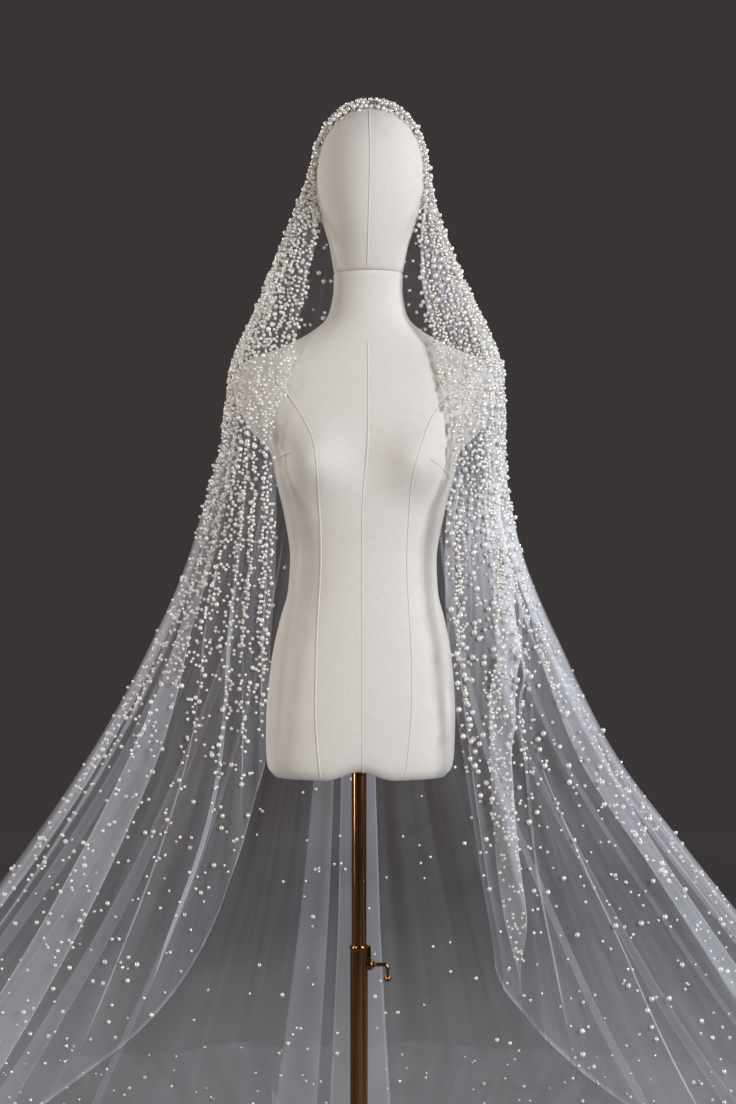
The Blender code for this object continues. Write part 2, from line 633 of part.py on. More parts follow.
def edging_path(end):
    """Places just off the veil, a little in from one front edge, from the temple up to the crown."""
    places = np.abs(end - np.linspace(0.01, 1.4, 80))
    low = float(np.interp(-EDGING_END, -LEVEL["z"], RUN))
    high = float(np.interp(-EDGING_BRIDGE, -LEVEL["z"], RUN))
    path = []
    for down in np.linspace(low, high, EDGING_STEPS):
        edge = veil_surface(end, down)
        row = veil_surface(places, np.full_like(places, down))
        i = max(int(np.argmax(np.linalg.norm(row - edge, axis=1) > EDGING_INSET)), 1)
        along = (row[i + 1] - row[i - 1]) * (1 if end == 0 else -1)
        steep = veil_surface(places[i], down - 0.002) - veil_surface(places[i], down + 0.002)
        normal = np.cross(steep, along)
        path.append(row[i] + normal / np.linalg.norm(normal) * BEAD_RADIUS)
    return path


def make_edging(veil):
    """The packed pearls along the front edge round the head: one string of bead bumps on the veil."""
    veil_tree = BVHTree.FromPolygons([v.co.copy() for v in veil.data.vertices],
                                     [tuple(p.vertices) for p in veil.data.polygons])
    path = np.array(edging_path(0.0) + edging_path(4.0)[::-1])
    run = np.concatenate(([0.0], np.cumsum(np.linalg.norm(np.diff(path, axis=0), axis=1))))
    beads = int(round(run[-1] / BEAD_PITCH))
    stations = np.linspace(0, run[-1], 2 * beads + 1)
    centres = []
    for place in np.stack([np.interp(stations, run, path[:, i]) for i in range(3)], axis=1):
        centre = Vector(place)
        for _ in range(6):
            off = centre - veil_tree.find_nearest(centre)[0]
            centre = centre + off.normalized() * (BEAD_RADIUS + EDGING_GAP - off.length)
        centres.append(centre)
    rings = []
    for i, centre in enumerate(centres):
        ahead = (centres[min(i + 1, len(centres) - 1)] - centres[max(i - 1, 0)]).normalized()
        right = ahead.cross(Vector((0.0, 1.0, 0.0))).normalized()
        up = right.cross(ahead)
        radius = BEAD_RADIUS if i % 2 else BEAD_LINK
        turns = [2 * math.pi * k / BEAD_SIDES for k in range(BEAD_SIDES)]
        rings.append([centre + (right * math.cos(turn) + up * math.sin(turn)) * radius for turn in turns])
    points, faces = rings_to_solid(rings)
    return add_object("pearl_edging", points, faces, "pearl")


def main():
    for old in list(bpy.data.objects):
        bpy.data.objects.remove(old, do_unlink=True)
    make_head()
    make_torso()
    make_stand()
    make_clamp()
    veil = make_veil()
    make_edging(veil)


main()
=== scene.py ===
# A pearl-beaded tulle veil with a train, worn by a limbless dress form on a brass pole stand.
# Metres, +Z up, the form faces -Y. Change the dictionaries to restyle a piece, then run the file again.
import math

import bmesh
import bpy
import numpy as np
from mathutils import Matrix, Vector
from mathutils.bvhtree import BVHTree


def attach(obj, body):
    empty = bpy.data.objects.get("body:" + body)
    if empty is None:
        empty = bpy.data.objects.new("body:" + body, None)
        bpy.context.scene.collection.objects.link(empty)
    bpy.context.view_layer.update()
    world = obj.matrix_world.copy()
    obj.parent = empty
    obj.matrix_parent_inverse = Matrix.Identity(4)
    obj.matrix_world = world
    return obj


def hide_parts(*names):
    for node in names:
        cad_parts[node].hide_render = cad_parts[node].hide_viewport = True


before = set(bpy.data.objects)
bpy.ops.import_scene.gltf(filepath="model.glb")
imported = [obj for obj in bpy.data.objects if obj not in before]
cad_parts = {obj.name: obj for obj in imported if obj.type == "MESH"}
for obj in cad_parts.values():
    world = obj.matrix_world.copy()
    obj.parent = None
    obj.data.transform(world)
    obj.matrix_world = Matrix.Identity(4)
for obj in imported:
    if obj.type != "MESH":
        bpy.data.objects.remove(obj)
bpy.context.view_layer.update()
print("frame loaded")


# small helpers
def column(table, name):
    return np.array([row[table["columns"].index(name)] for row in table["rows"]], dtype=float)


def smoothCurve(x, xs, ys):
    # a curve through the points that never overshoots them
    xs, ys = np.asarray(xs, float), np.asarray(ys, float)
    if xs[0] > xs[-1]:
        xs, ys = xs[::-1], ys[::-1]
    step = np.diff(xs)
    slope = np.diff(ys) / step
    lean = np.zeros_like(ys)
    product = slope[:-1] * slope[1:]
    ends = np.where(product > 0, slope[:-1] + slope[1:], 1.0)
    lean[1:-1] = np.where(product > 0, 2 * product / ends, 0.0)
    lean[0], lean[-1] = slope[0], slope[-1]
    x = np.clip(np.asarray(x, float), xs[0], xs[-1])
    i = np.clip(np.searchsorted(xs, x) - 1, 0, len(step) - 1)
    s = (x - xs[i]) / step[i]
    return ((1 + 2 * s) * (1 - s) ** 2 * ys[i] + s * (1 - s) ** 2 * step[i] * lean[i]
            + s * s * (3 - 2 * s) * ys[i + 1] + s * s * (s - 1) * step[i] * lean[i + 1])


def valueAt(table, name, x):
    # one column of a table as a smooth curve over its first column
    return smoothCurve(x, column(table, table["columns"][0]), column(table, name))


def fade(x, start, end):
    # from 0 at the start to 1 at the end, which may be the lower of the two
    s = np.clip((x - start) / (end - start), 0.0, 1.0)
    return s * s * (3 - 2 * s)


def runAlong(steps):
    return np.concatenate(([0.0], np.cumsum(steps)))


def turnsRound(count):
    return np.linspace(0, 2 * math.pi, count, endpoint=False)


def spots(x, y, z):
    return np.stack(np.broadcast_arrays(x, y, z), axis=-1)


def unit(vectors):
    return vectors / np.linalg.norm(vectors, axis=-1, keepdims=True)


def addObject(name, data):
    made = bpy.data.objects.new(name, data)
    bpy.context.scene.collection.objects.link(made)
    return made


def addMesh(name, points, faces, finish=None, edges=()):
    mesh = bpy.data.meshes.new(name)
    mesh.from_pydata([tuple(map(float, p)) for p in points], edges, faces)
    if finish:
        mesh.materials.append(finish)
    return addObject(name, mesh)


def shadeSmooth(piece, sharp):
    piece.data.shade_smooth()
    piece.data.set_sharp_from_angle(angle=math.radians(sharp))


def loft(name, rings, finish, firstTip, lastTip):
    # a closed skin over equal rings, with a fan to a tip at either end
    count = len(rings[0])
    points = [*(p for ring in rings for p in ring), firstTip, lastTip]
    following = [(i + 1) % count for i in range(count)]
    faces = []
    for r in range(0, count * (len(rings) - 1), count):
        faces += [(r + i, r + j, r + count + j, r + count + i) for i, j in enumerate(following)]
    for start, tip in ((0, len(points) - 2), (count * (len(rings) - 1), len(points) - 1)):
        faces += [(start + i, start + j, tip) for i, j in enumerate(following)]
    piece = addMesh(name, points, faces, finish)
    shape = bmesh.new()
    shape.from_mesh(piece.data)
    bmesh.ops.remove_doubles(shape, verts=shape.verts, dist=1e-6)
    bmesh.ops.recalc_face_normals(shape, faces=shape.faces)
    shape.to_mesh(piece.data)
    shape.free()
    return piece


def finishPiece(piece, replaced=(), body="root"):
    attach(piece, body)
    if replaced:
        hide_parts(*replaced)


# node helpers; a value is a number, a colour or another node's socket
def newGroup(name, kind, inputs, outputs):
    group = bpy.data.node_groups.new(name, kind)
    for label, socketKind, value in inputs:
        socket = group.interface.new_socket(label, in_out="INPUT", socket_type="NodeSocket" + socketKind)
        if value is not None:
            socket.default_value = value
    for label, socketKind in outputs:
        group.interface.new_socket(label, in_out="OUTPUT", socket_type="NodeSocket" + socketKind)
    return group, group.nodes.new("NodeGroupInput").outputs, group.nodes.new("NodeGroupOutput").inputs


def feed(tree, target, value):
    if isinstance(value, bpy.types.NodeSocket):
        tree.links.new(value, target)
    else:
        target.default_value = value


def addNode(tree, kind, values=None, **settings):
    node = tree.nodes.new(kind)
    for name, setting in settings.items():
        setattr(node, name, setting)
    for name, value in (values or {}).items():
        feed(tree, node.inputs[name], value)
    return node.outputs


def mathNode(tree, operation, *values, clamp=False):
    return addNode(tree, "ShaderNodeMath", dict(enumerate(values)), operation=operation, use_clamp=clamp)[0]


def times(tree, first, *others):
    for other in others:
        first = mathNode(tree, "MULTIPLY", first, other)
    return first


def plus(tree, first, *others):
    for other in others:
        first = mathNode(tree, "ADD", first, other)
    return first


def noiseNode(tree, vector, scale, detail, roughness=0.5):
    return addNode(tree, "ShaderNodeTexNoise",
                   {"Vector": vector, "Scale": scale, "Detail": detail, "Roughness": roughness})["Fac"]


def mixColour(tree, factor, first, second):
    first, second = ((*colour, 1.0) if isinstance(colour, tuple) else colour for colour in (first, second))
    return addNode(tree, "ShaderNodeMix", {0: factor, 6: first, 7: second}, data_type="RGBA")[2]


def mapRange(tree, value, *limits):
    # the limits: from, to, and what they become if that isn't 0 and 1
    return addNode(tree, "ShaderNodeMapRange", dict(enumerate((value, *limits))))[0]


def bumpNode(tree, height, strength, distance):
    return addNode(tree, "ShaderNodeBump",
                   {"Height": height, "Strength": strength, "Distance": distance})["Normal"]


def uvVector(tree):
    return addNode(tree, "ShaderNodeUVMap", uv_map="flat")["UV"]


def stretched(tree, vector, stretch):
    return addNode(tree, "ShaderNodeMapping", {"Vector": vector, "Scale": stretch})["Vector"]


def objectVector(tree, stretch=(1.0, 1.0, 1.0)):
    return stretched(tree, addNode(tree, "ShaderNodeTexCoord")["Object"], stretch)


def newMaterial(name):
    made = bpy.data.materials.new(name)
    made.use_nodes = True
    return made, made.node_tree


def setShader(made, values):
    for name, value in values.items():
        feed(made.node_tree, made.node_tree.nodes["Principled BSDF"].inputs[name], value)
    return made


# threads that cross at right angles, from a flat place in metres
def makeWeaveGroup():
    group, given, result = newGroup("plainWeave", "ShaderNodeTree", [
        ("Vector", "Vector", None), ("Thread", "Float", 0.0007), ("Unevenness", "Float", 0.35),
    ], [("Height", "Float"), ("Slub", "Float")])
    sides = addNode(group, "ShaderNodeSeparateXYZ", {0: given["Vector"]})
    pitch = mathNode(group, "DIVIDE", math.pi, given["Thread"])
    over = times(group, *(mathNode(group, "SINE", times(group, side, pitch)) for side in sides[:2]))
    streaks = [noiseNode(group, stretched(group, given["Vector"], scale), 1.0, 2.0, 0.6)
               for scale in ((60.0, 480.0, 1.0), (480.0, 60.0, 1.0))]
    slub = times(group, plus(group, *streaks), 0.5)
    rough = times(group, slub, given["Unevenness"])
    feed(group, result["Height"], plus(group, mathNode(group, "ABSOLUTE", over), rough))
    feed(group, result["Slub"], slub)
    return group


# six-sided net: three families of threads, 60 degrees apart
def makeNetGroup():
    group, given, result = newGroup("tulleNet", "ShaderNodeTree", [
        ("Vector", "Vector", None), ("Hole", "Float", 0.0012),
    ], [("Thread", "Float"), ("Cloud", "Float")])
    sides = addNode(group, "ShaderNodeSeparateXYZ", {0: given["Vector"]})
    pitch = mathNode(group, "DIVIDE", 2 * math.pi, given["Hole"])
    waves = []
    for turn in (0.0, math.pi / 3, 2 * math.pi / 3):
        place = plus(group, times(group, sides[0], math.cos(turn)), times(group, sides[1], math.sin(turn)))
        waves.append(mathNode(group, "COSINE", times(group, place, pitch)))
    feed(group, result["Thread"], mapRange(group, plus(group, *waves), 0.6, -1.2))
    feed(group, result["Cloud"], noiseNode(group, given["Vector"], 5.0, 3.0, 0.55))
    return group


weaveGroup = makeWeaveGroup()
netGroup = makeNetGroup()

# cream woven cover of the form
coverLook = {
    "light": (0.80, 0.765, 0.715),
    "shade": (0.69, 0.65, 0.595),
    "thread": 0.0008,
    "mottle": 0.35,
    "slub": 0.50,
    "relief": (0.35, 0.0003),
    "roughness": (0.74, 0.90),
    "sheen": 0.25,
}


def makeCover():
    made, tree = newMaterial("wovenCover")
    weave = addNode(tree, "ShaderNodeGroup", {"Vector": uvVector(tree), "Thread": coverLook["thread"]},
                    node_tree=weaveGroup)
    mottle = times(tree, noiseNode(tree, objectVector(tree), 9.0, 4.0, 0.6), coverLook["mottle"])
    slub = times(tree, mapRange(tree, weave["Slub"], 0.36, 0.64), coverLook["slub"])
    return setShader(made, {
        "Base Color": mixColour(tree, plus(tree, mottle, slub), coverLook["shade"], coverLook["light"]),
        "Normal": bumpNode(tree, weave["Height"], *coverLook["relief"]),
        "Roughness": mapRange(tree, weave["Slub"], 0.2, 0.8, *coverLook["roughness"]),
        "Sheen Weight": coverLook["sheen"],
        "Sheen Roughness": 0.5,
        "Specular IOR Level": 0.25,
    })


# dark antique brass, polished along the pole; its colour mixes uneven patches of tone with painted reflection
# streaks that run down the pole
brassLook = {
    "bright": (0.66, 0.33, 0.14),
    "dark": (0.09, 0.032, 0.012),
    "patches": 0.35,
    # the streaks are painted reflections of the lamps, running down the pole in its colour
    "streaks": 0.60,
    "relief": (0.08, 0.0002),
    "roughness": (0.06, 0.19),
}


def makeBrass():
    made, tree = newMaterial("antiqueBrass")
    patches = noiseNode(tree, objectVector(tree), 14.0, 4.0, 0.6)
    lines = noiseNode(tree, objectVector(tree, (1.0, 1.0, 0.02)), 900.0, 2.0, 0.6)
    # painted reflection streaks: vertical stripes in the colour that stand in for the lamps' reflections
    streaks = noiseNode(tree, objectVector(tree, (1.0, 1.0, 0.01)), 230.0, 2.0)
    tone = plus(tree, times(tree, patches, brassLook["patches"]),
                times(tree, mapRange(tree, streaks, 0.36, 0.64), brassLook["streaks"]))
    return setShader(made, {
        "Base Color": mixColour(tree, tone, brassLook["dark"], brassLook["bright"]),
        "Roughness": mapRange(tree, lines, 0.3, 0.7, *brassLook["roughness"]),
        "Normal": bumpNode(tree, lines, *brassLook["relief"]),
        "Metallic": 1.0,
    })


# white silk-like net; more of it shows where it is gathered or seen edge on
tulleLook = {
    "colour": (0.88, 0.895, 0.97),
    "cover": 0.066,
    "gathered": 0.30,
    "edgeOn": 0.10,
    "edgePower": 8.0,
    "hole": 0.0012,
    "streaks": (36.0, 1.5),
    "letsThrough": 0.55,
    "roughness": (0.65, 0.50),
}


def makeTulle():
    made, tree = newMaterial("softTulle")
    net = addNode(tree, "ShaderNodeGroup", {"Vector": uvVector(tree), "Hole": tulleLook["hole"]},
                  node_tree=netGroup)

    def fromMesh(name):
        return addNode(tree, "ShaderNodeAttribute", attribute_name=name)["Fac"]

    across, downward = (times(tree, fromMesh(name), scale)
                        for name, scale in zip(("acrossCloth", "downCloth"), tulleLook["streaks"]))
    place = addNode(tree, "ShaderNodeCombineXYZ", {0: across, 1: downward})[0]
    broad = mapRange(tree, noiseNode(tree, place, 1.0, 3.0, 0.6), 0.36, 0.66, 0.68, 1.45)
    narrow = mapRange(tree, noiseNode(tree, place, 3.6, 2.0), 0.34, 0.66, 0.55, 1.35)
    facing = addNode(tree, "ShaderNodeLayerWeight", {"Blend": 0.5})["Facing"]
    edgeOn = times(tree, mathNode(tree, "POWER", facing, tulleLook["edgePower"]), tulleLook["edgeOn"])
    cloud = mapRange(tree, net["Cloud"], 0.3, 0.7, 0.8, 1.2)
    thread = mapRange(tree, net["Thread"], 0.0, 1.0, 0.75, 1.35)
    plain = times(tree, cloud, thread, tulleLook["cover"], broad)
    folds = times(tree, fromMesh("gathered"), narrow, tulleLook["gathered"])
    whole = mathNode(tree, "ADD", plus(tree, plain, folds), edgeOn, clamp=True)
    shadow = times(tree, addNode(tree, "ShaderNodeLightPath")["Is Shadow Ray"], tulleLook["letsThrough"])
    colour = tulleLook["colour"]
    return setShader(made, {
        "Alpha": times(tree, whole, mathNode(tree, "SUBTRACT", 1.0, shadow)),
        "Base Color": mixColour(tree, net["Thread"], tuple(0.94 * c for c in colour), colour),
        "Roughness": mapRange(tree, net["Thread"], 0.0, 1.0, *tulleLook["roughness"]),
        "Sheen Weight": 0.3,
        "Specular IOR Level": 0.3,
    })


# glossy ivory pearls, no two quite the same tone
pearlLook = {
    "ivory": (0.78, 0.73, 0.65),
    "white": (0.92, 0.90, 0.86),
    "lustre": 0.26,
    "roughness": (0.12, 0.23),
}


def makePearl():
    made, tree = newMaterial("ivoryPearl")
    tones = mapRange(tree, noiseNode(tree, objectVector(tree), 70.0, 1.0), 0.35, 0.65)
    sheen = noiseNode(tree, objectVector(tree), 420.0, 2.0)
    return setShader(made, {
        "Base Color": mixColour(tree, tones, pearlLook["ivory"], pearlLook["white"]),
        "Roughness": mapRange(tree, sheen, 0.3, 0.7, *pearlLook["roughness"]),
        "Metallic": pearlLook["lustre"],
        "Coat Weight": 1.0,
        "Coat Roughness": 0.06,
        "Specular IOR Level": 0.8,
        "Sheen Weight": 0.1,
    })


cover, brass, tulle, pearl = makeCover(), makeBrass(), makeTulle(), makePearl()
print("materials made")

# the dress form: half its width and its depth in front and behind at each height, and how square it is
form = {"bottom": 0.7455, "lean": 0.0173, "offset": 0.001, "edge": 0.0016, "rim": 0.968, "sharp": 50}

torso = {
    "columns": ("z", "half", "front", "back", "power"),
    "rows": (
        (1.497, 0.052, 0.052, 0.058, 2.0), (1.475, 0.0515, 0.05, 0.057, 2.0),
        (1.448, 0.055, 0.052, 0.06, 2.0), (1.4286, 0.0622, 0.054, 0.064, 2.0),
        (1.414, 0.0775, 0.056, 0.068, 2.0), (1.401, 0.098, 0.058, 0.071, 2.0),
        (1.39, 0.12, 0.06, 0.074, 2.0), (1.3785, 0.145, 0.062, 0.077, 1.9),
        (1.365, 0.18, 0.066, 0.08, 1.8), (1.35, 0.196, 0.071, 0.083, 1.8),
        (1.33, 0.199, 0.077, 0.086, 1.8), (1.305, 0.1945, 0.084, 0.09, 1.9),
        (1.265, 0.173, 0.092, 0.093, 2.1), (1.227, 0.14, 0.096, 0.092, 2.3),
        (1.19, 0.1325, 0.097, 0.089, 2.3), (1.14, 0.12, 0.092, 0.083, 2.3),
        (1.068, 0.109, 0.085, 0.077, 2.2), (1.023, 0.1114, 0.085, 0.08, 2.2),
        (0.9765, 0.123, 0.088, 0.088, 2.2), (0.93, 0.1325, 0.091, 0.097, 2.3),
        (0.88, 0.138, 0.094, 0.104, 2.3), (0.83, 0.1408, 0.095, 0.107, 2.4),
        (0.78, 0.14, 0.094, 0.105, 2.4), (0.758, 0.137, 0.091, 0.101, 2.4),
        (0.7455, 0.127, 0.083, 0.092, 2.4),
    ),
    "bust": {"x": 0.083, "z": 1.212, "rise": 0.034, "wide": 0.047, "high": 0.046, "sideFade": 2.5},
    "groove": {"rise": 0.013, "half": 0.05, "from": 0.83},
    "socket": {"radius": 0.0115, "rim": 0.0008, "depth": 0.08},
    "underShares": (0.985, 0.95, 0.88, 0.78, 0.64, 0.48, 0.32, 0.18),
    "flatWidth": 0.8,
    "sides": 180,
    "levels": 170,
}

head = {
    "columns": ("z", "half", "front", "back", "power"),
    "rows": (
        (1.4973, 0.0515, 0.055, 0.06, 2.0), (1.515, 0.0545, 0.064, 0.067, 2.0),
        (1.538, 0.059, 0.075, 0.077, 2.0), (1.563, 0.0665, 0.084, 0.089, 2.0),
        (1.593, 0.076, 0.091, 0.099, 2.0), (1.623, 0.0808, 0.094, 0.104, 2.0),
        (1.653, 0.08, 0.092, 0.103, 2.0), (1.683, 0.0745, 0.083, 0.095, 2.0),
        (1.7055, 0.065, 0.07, 0.083, 2.0), (1.728, 0.048, 0.049, 0.06, 2.0),
        (1.74, 0.0285, 0.028, 0.036, 2.0), (1.746, 0.0, 0.0, 0.0, 2.0),
    ),
    "tipY": 0.003,
    "flatWidth": 0.52,
    "sides": 112,
    "levels": 80,
}


def axisX(z):
    # the form leans a little to one side
    return form["offset"] + form["lean"] * np.maximum(np.asarray(z, float) - form["bottom"], 0.0)


def skinPoint(table, angle, z):
    # a point of the skin at a height, angle 0 at the right side and -90 degrees at the front
    half, front, back, power = (valueAt(table, name, z) for name in table["columns"][1:])
    c, s = np.cos(angle), np.sin(angle)
    x = half * np.sign(c) * np.abs(c) ** (2 / power)
    y = np.where(s > 0, back, front) * np.sign(s) * np.abs(s) ** (2 / power)
    if "bust" in table:
        bust = table["bust"]
        away = (np.abs(x) - bust["x"]) / bust["wide"]
        up = (z - bust["z"]) / bust["high"]
        y = y - bust["rise"] * np.exp(-away * away - up * up) * np.clip(-bust["sideFade"] * s, 0.0, 1.0)
    return spots(axisX(z) + x, y, z)


def giveFlatUv(piece, width):
    # the cover laid out flat round the form's axis, in metres
    layer = piece.data.uv_layers.new(name="flat")
    for loop in piece.data.loops:
        point = piece.data.vertices[loop.vertex_index].co
        layer.data[loop.index].uv = (width * math.atan2(point.y, point.x) / (2 * math.pi), point.z)


def rimRing(middle, ring):
    return middle + (ring - middle) * form["rim"]


def coveredPiece(name, rings, firstTip, lastTip, width):
    piece = loft(name, rings, cover, firstTip, lastTip)
    shadeSmooth(piece, form["sharp"])
    giveFlatUv(piece, width)
    return piece


def makeTorso():
    angles = turnsRound(torso["sides"])
    top, bottom = torso["rows"][0][0], torso["rows"][-1][0]
    heights = top - (top - bottom) * np.linspace(0, 1, torso["levels"])
    rings = skinPoint(torso, angles[None, :], heights[:, None])
    groove, socket = torso["groove"], torso["socket"]

    def grooveAt(x):
        away = np.clip(np.abs(x - form["offset"]) / groove["half"], 0, 1)
        return groove["rise"] * np.cos(away * math.pi / 2) ** 2

    rings[..., 2] += fade(heights, groove["from"], bottom)[:, None] * grooveAt(rings[..., 0])
    under = []
    middle = np.array((form["offset"], 0.0, 0.0))
    for share in torso["underShares"]:
        ring = middle + (rings[-1] - middle) * share
        ring[:, 2] = bottom + grooveAt(ring[:, 0]) - form["edge"] * (1 - share) ** 0.5
        under.append(ring)
    roof = bottom + groove["rise"]
    end = roof + socket["depth"]
    for z, wider in ((roof - 0.001, socket["rim"]), (roof, 0), (end, 0)):
        radius = socket["radius"] + wider
        under.append(spots(radius * np.cos(angles), radius * np.sin(angles), z))
    middle = np.array((axisX(top), 0.0, top))
    rings[1, :, 2] = rings[0, :, 2] - form["edge"]
    skin = [rimRing(middle, rings[0]), *rings[1:], *under]
    return coveredPiece("form_cover_torso", skin, middle, (0, 0, end), torso["flatWidth"])


def makeHead():
    angles = turnsRound(head["sides"])
    bottom, top = head["rows"][0][0], head["rows"][-1][0]
    share = np.linspace(0, 1, head["levels"])[:-1, None]
    rings = skinPoint(head, angles[None, :], bottom + (top - bottom) * np.sin(share * math.pi / 2) ** 0.9)
    middle = np.array((axisX(bottom), 0.0, bottom))
    rim = rimRing(middle, rings[0])
    rings[0, :, 2] += form["edge"]
    tip = (axisX(top), head["tipY"], top)
    return coveredPiece("form_cover_head", [rim, *rings], middle, tip, head["flatWidth"])


torsoPiece, headPiece = makeTorso(), makeHead()
print("form made")


# Geometry Nodes helpers
def newTree(name, inputs):
    inputs = [("Geometry", "Geometry", None), *inputs, ("Material", "Material", None)]
    return newGroup(name, "GeometryNodeTree", inputs, [("Geometry", "Geometry")])


def closeTree(tree, given, result, geometry):
    # the tree's usual end: real geometry, smooth faces, one material
    real = addNode(tree, "GeometryNodeRealizeInstances", {"Geometry": geometry})[0]
    smooth = addNode(tree, "GeometryNodeSetShadeSmooth", {"Geometry": real})[0]
    painted = addNode(tree, "GeometryNodeSetMaterial", {"Geometry": smooth, "Material": given["Material"]})[0]
    feed(tree, result[0], painted)
    return tree


def runTree(host, tree, values, name):
    # the tree's result as a plain mesh of its own; the host goes
    modifier = host.modifiers.new(tree.name, "NODES")
    modifier.node_group = tree
    for item in tree.interface.items_tree:
        if item.in_out == "INPUT" and item.name in values:
            modifier[item.identifier] = values[item.name]
    graph = bpy.context.evaluated_depsgraph_get()
    mesh = bpy.data.meshes.new_from_object(host.evaluated_get(graph), depsgraph=graph)
    mesh.name = name
    bpy.data.objects.remove(host)
    return addObject(name, mesh)


def surfaceTree(piece):
    return BVHTree.FromPolygons([v.co.copy() for v in piece.data.vertices],
                                [tuple(p.vertices) for p in piece.data.polygons])


# raised seams of the cover: which side (-1 is the front), then marks down the seam, each the distance
# from the form's axis and the height
seams = {
    "radius": 0.0016,
    "proud": 0.001,
    "points": 120,
    "step": 0.005,
    "corners": 10,
    "torso": {
        "centre_front": (-1, ((0.0016, 1.3885), (0.0028, 1.32), (0.0042, 1.252), (0.0012, 1.2),
                              (-0.0025, 1.15), (-0.0011, 1.068), (0.0047, 0.752))),
        "princess_left": (-1, ((-0.15, 1.345), (-0.1157, 1.3133), (-0.09, 1.274), (-0.0737, 1.2418),
                               (-0.0683, 1.185), (-0.0619, 1.0683), (-0.0654, 0.9794), (-0.0662, 0.9342),
                               (-0.066, 0.8453), (-0.0573, 0.751))),
        "princess_right": (-1, ((0.15, 1.342), (0.118, 1.308), (0.0991, 1.2841), (0.0893, 1.2579),
                                (0.0796, 1.2287), (0.0688, 1.185), (0.0643, 1.0683), (0.0731, 0.9342),
                                (0.075, 0.8642), (0.0724, 0.8059), (0.0667, 0.751))),
        "dart_right": (-1, ((0.095, 1.215), (0.1081, 1.2068), (0.1187, 1.1981), (0.1262, 1.187))),
        "dart_left": (-1, ((-0.104, 1.2256), (-0.1174, 1.2234), (-0.13, 1.2174))),
        "centre_back": (1, ((0.0, 1.382), (0.001, 1.068), (0.002, 0.752))),
        "princess_back_left": (1, ((-0.15, 1.345), (-0.112, 1.3), (-0.08, 1.22), (-0.066, 1.13),
                                   (-0.056, 1.06), (-0.064, 0.94), (-0.07, 0.85), (-0.064, 0.751))),
        "princess_back_right": (1, ((0.15, 1.345), (0.112, 1.3), (0.08, 1.22), (0.066, 1.13),
                                    (0.056, 1.06), (0.064, 0.94), (0.07, 0.85), (0.064, 0.751))),
    },
    "head": {
        "face": (-1, ((-0.0015, 1.501), (0.0, 1.64), (-0.003, 1.736))),
        "nape": (1, ((0.0, 1.501), (0.0, 1.64), (-0.002, 1.736))),
    },
    "sideHeights": (1.382, 0.7515),
    "ringPoints": 160,
    "neckBase": 1.392,
    "neckRise": 0.02,
    "neckProud": 0.0004,
    "evenOut": 11,
    "least": 0.004,
    "flatWidth": 0.6,
}


def makeSeamTree():
    tree, given, result = newTree("raisedSeam", [
        ("Radius", "Float", 0.001), ("Step", "Float", 0.004), ("Corners", "Int", 8),
    ])
    line = addNode(tree, "GeometryNodeMeshToCurve", {"Mesh": given["Geometry"]})[0]
    even = addNode(tree, "GeometryNodeResampleCurve", {"Curve": line, "Length": given["Step"]},
                   mode="LENGTH")[0]
    section = addNode(tree, "GeometryNodeCurvePrimitiveCircle",
                      {"Resolution": given["Corners"], "Radius": given["Radius"]})[0]
    tube = addNode(tree, "GeometryNodeCurveToMesh",
                   {"Curve": even, "Profile Curve": section, "Fill Caps": True})[0]
    return closeTree(tree, given, result, tube)


def sunk(skin, point, depth):
    # the nearest place on a skin, moved into it
    spot, normal = skin.find_nearest(Vector(point))[:2]
    return spot - normal * depth


def seamLine(table, side, marks, skin):
    # the seam's marks as a smooth line that lies half sunk in the skin
    marks = np.array(marks)
    run = runAlong(np.hypot(*np.diff(marks, axis=0).T))
    place = np.linspace(0, run[-1], seams["points"])
    kernel = np.ones(seams["evenOut"]) / seams["evenOut"]
    line = [np.pad(smoothCurve(place, run, mark), seams["evenOut"] // 2, mode="reflect", reflect_type="odd")
            for mark in marks.T]
    across, z = (np.convolve(part, kernel, mode="valid") for part in line)
    half, power = (smoothCurve(z, column(table, "z"), np.maximum(column(table, name), seams["least"]))
                   for name in ("half", "power"))
    c = np.sign(across) * np.clip(np.abs(across) / half, 0, 1) ** (power / 2)
    skinLine = skinPoint(table, np.arctan2(side * np.sqrt(1 - c * c), c), z)
    return [sunk(skin, point, seams["radius"] - seams["proud"]) for point in skinLine]


def makeSeams(piece, table, name):
    skin = surfaceTree(piece)
    lines = [seamLine(table, side, marks, skin) for side, marks in seams[name].values()]
    if table is torso:
        for angle in (0.0, math.pi):
            heights = np.linspace(*seams["sideHeights"], seams["ringPoints"])
            inward = Vector((math.cos(angle), 0, 0)) * (seams["radius"] - seams["proud"])
            side = skinPoint(torso, np.full_like(heights, angle), heights)
            lines.append([Vector(point) - inward for point in side])
        turns = np.linspace(0, 2 * math.pi, seams["ringPoints"])
        neck = skinPoint(torso, turns, seams["neckBase"] + seams["neckRise"] * np.cos(turns) ** 2)
        lines.append([sunk(skin, point, seams["radius"] - seams["neckProud"]) for point in neck])
    points, edges = [], []
    for line in lines:
        edges += [(len(points) + i, len(points) + i + 1) for i in range(len(line) - 1)]
        points += list(line)
    made = runTree(addMesh(name + "_lines", points, [], edges=edges), seamTree, {
        "Radius": seams["radius"], "Step": seams["step"], "Corners": seams["corners"], "Material": cover,
    }, "form_seams_" + name)
    giveFlatUv(made, seams["flatWidth"])
    return made


seamTree = makeSeamTree()
torsoSeams = makeSeams(torsoPiece, torso, "torso")
headSeams = makeSeams(headPiece, head, "head")
finishPiece(torsoPiece, ["form_torso"])
finishPiece(headPiece, ["form_head"])
finishPiece(torsoSeams)
finishPiece(headSeams)
print("seams made")


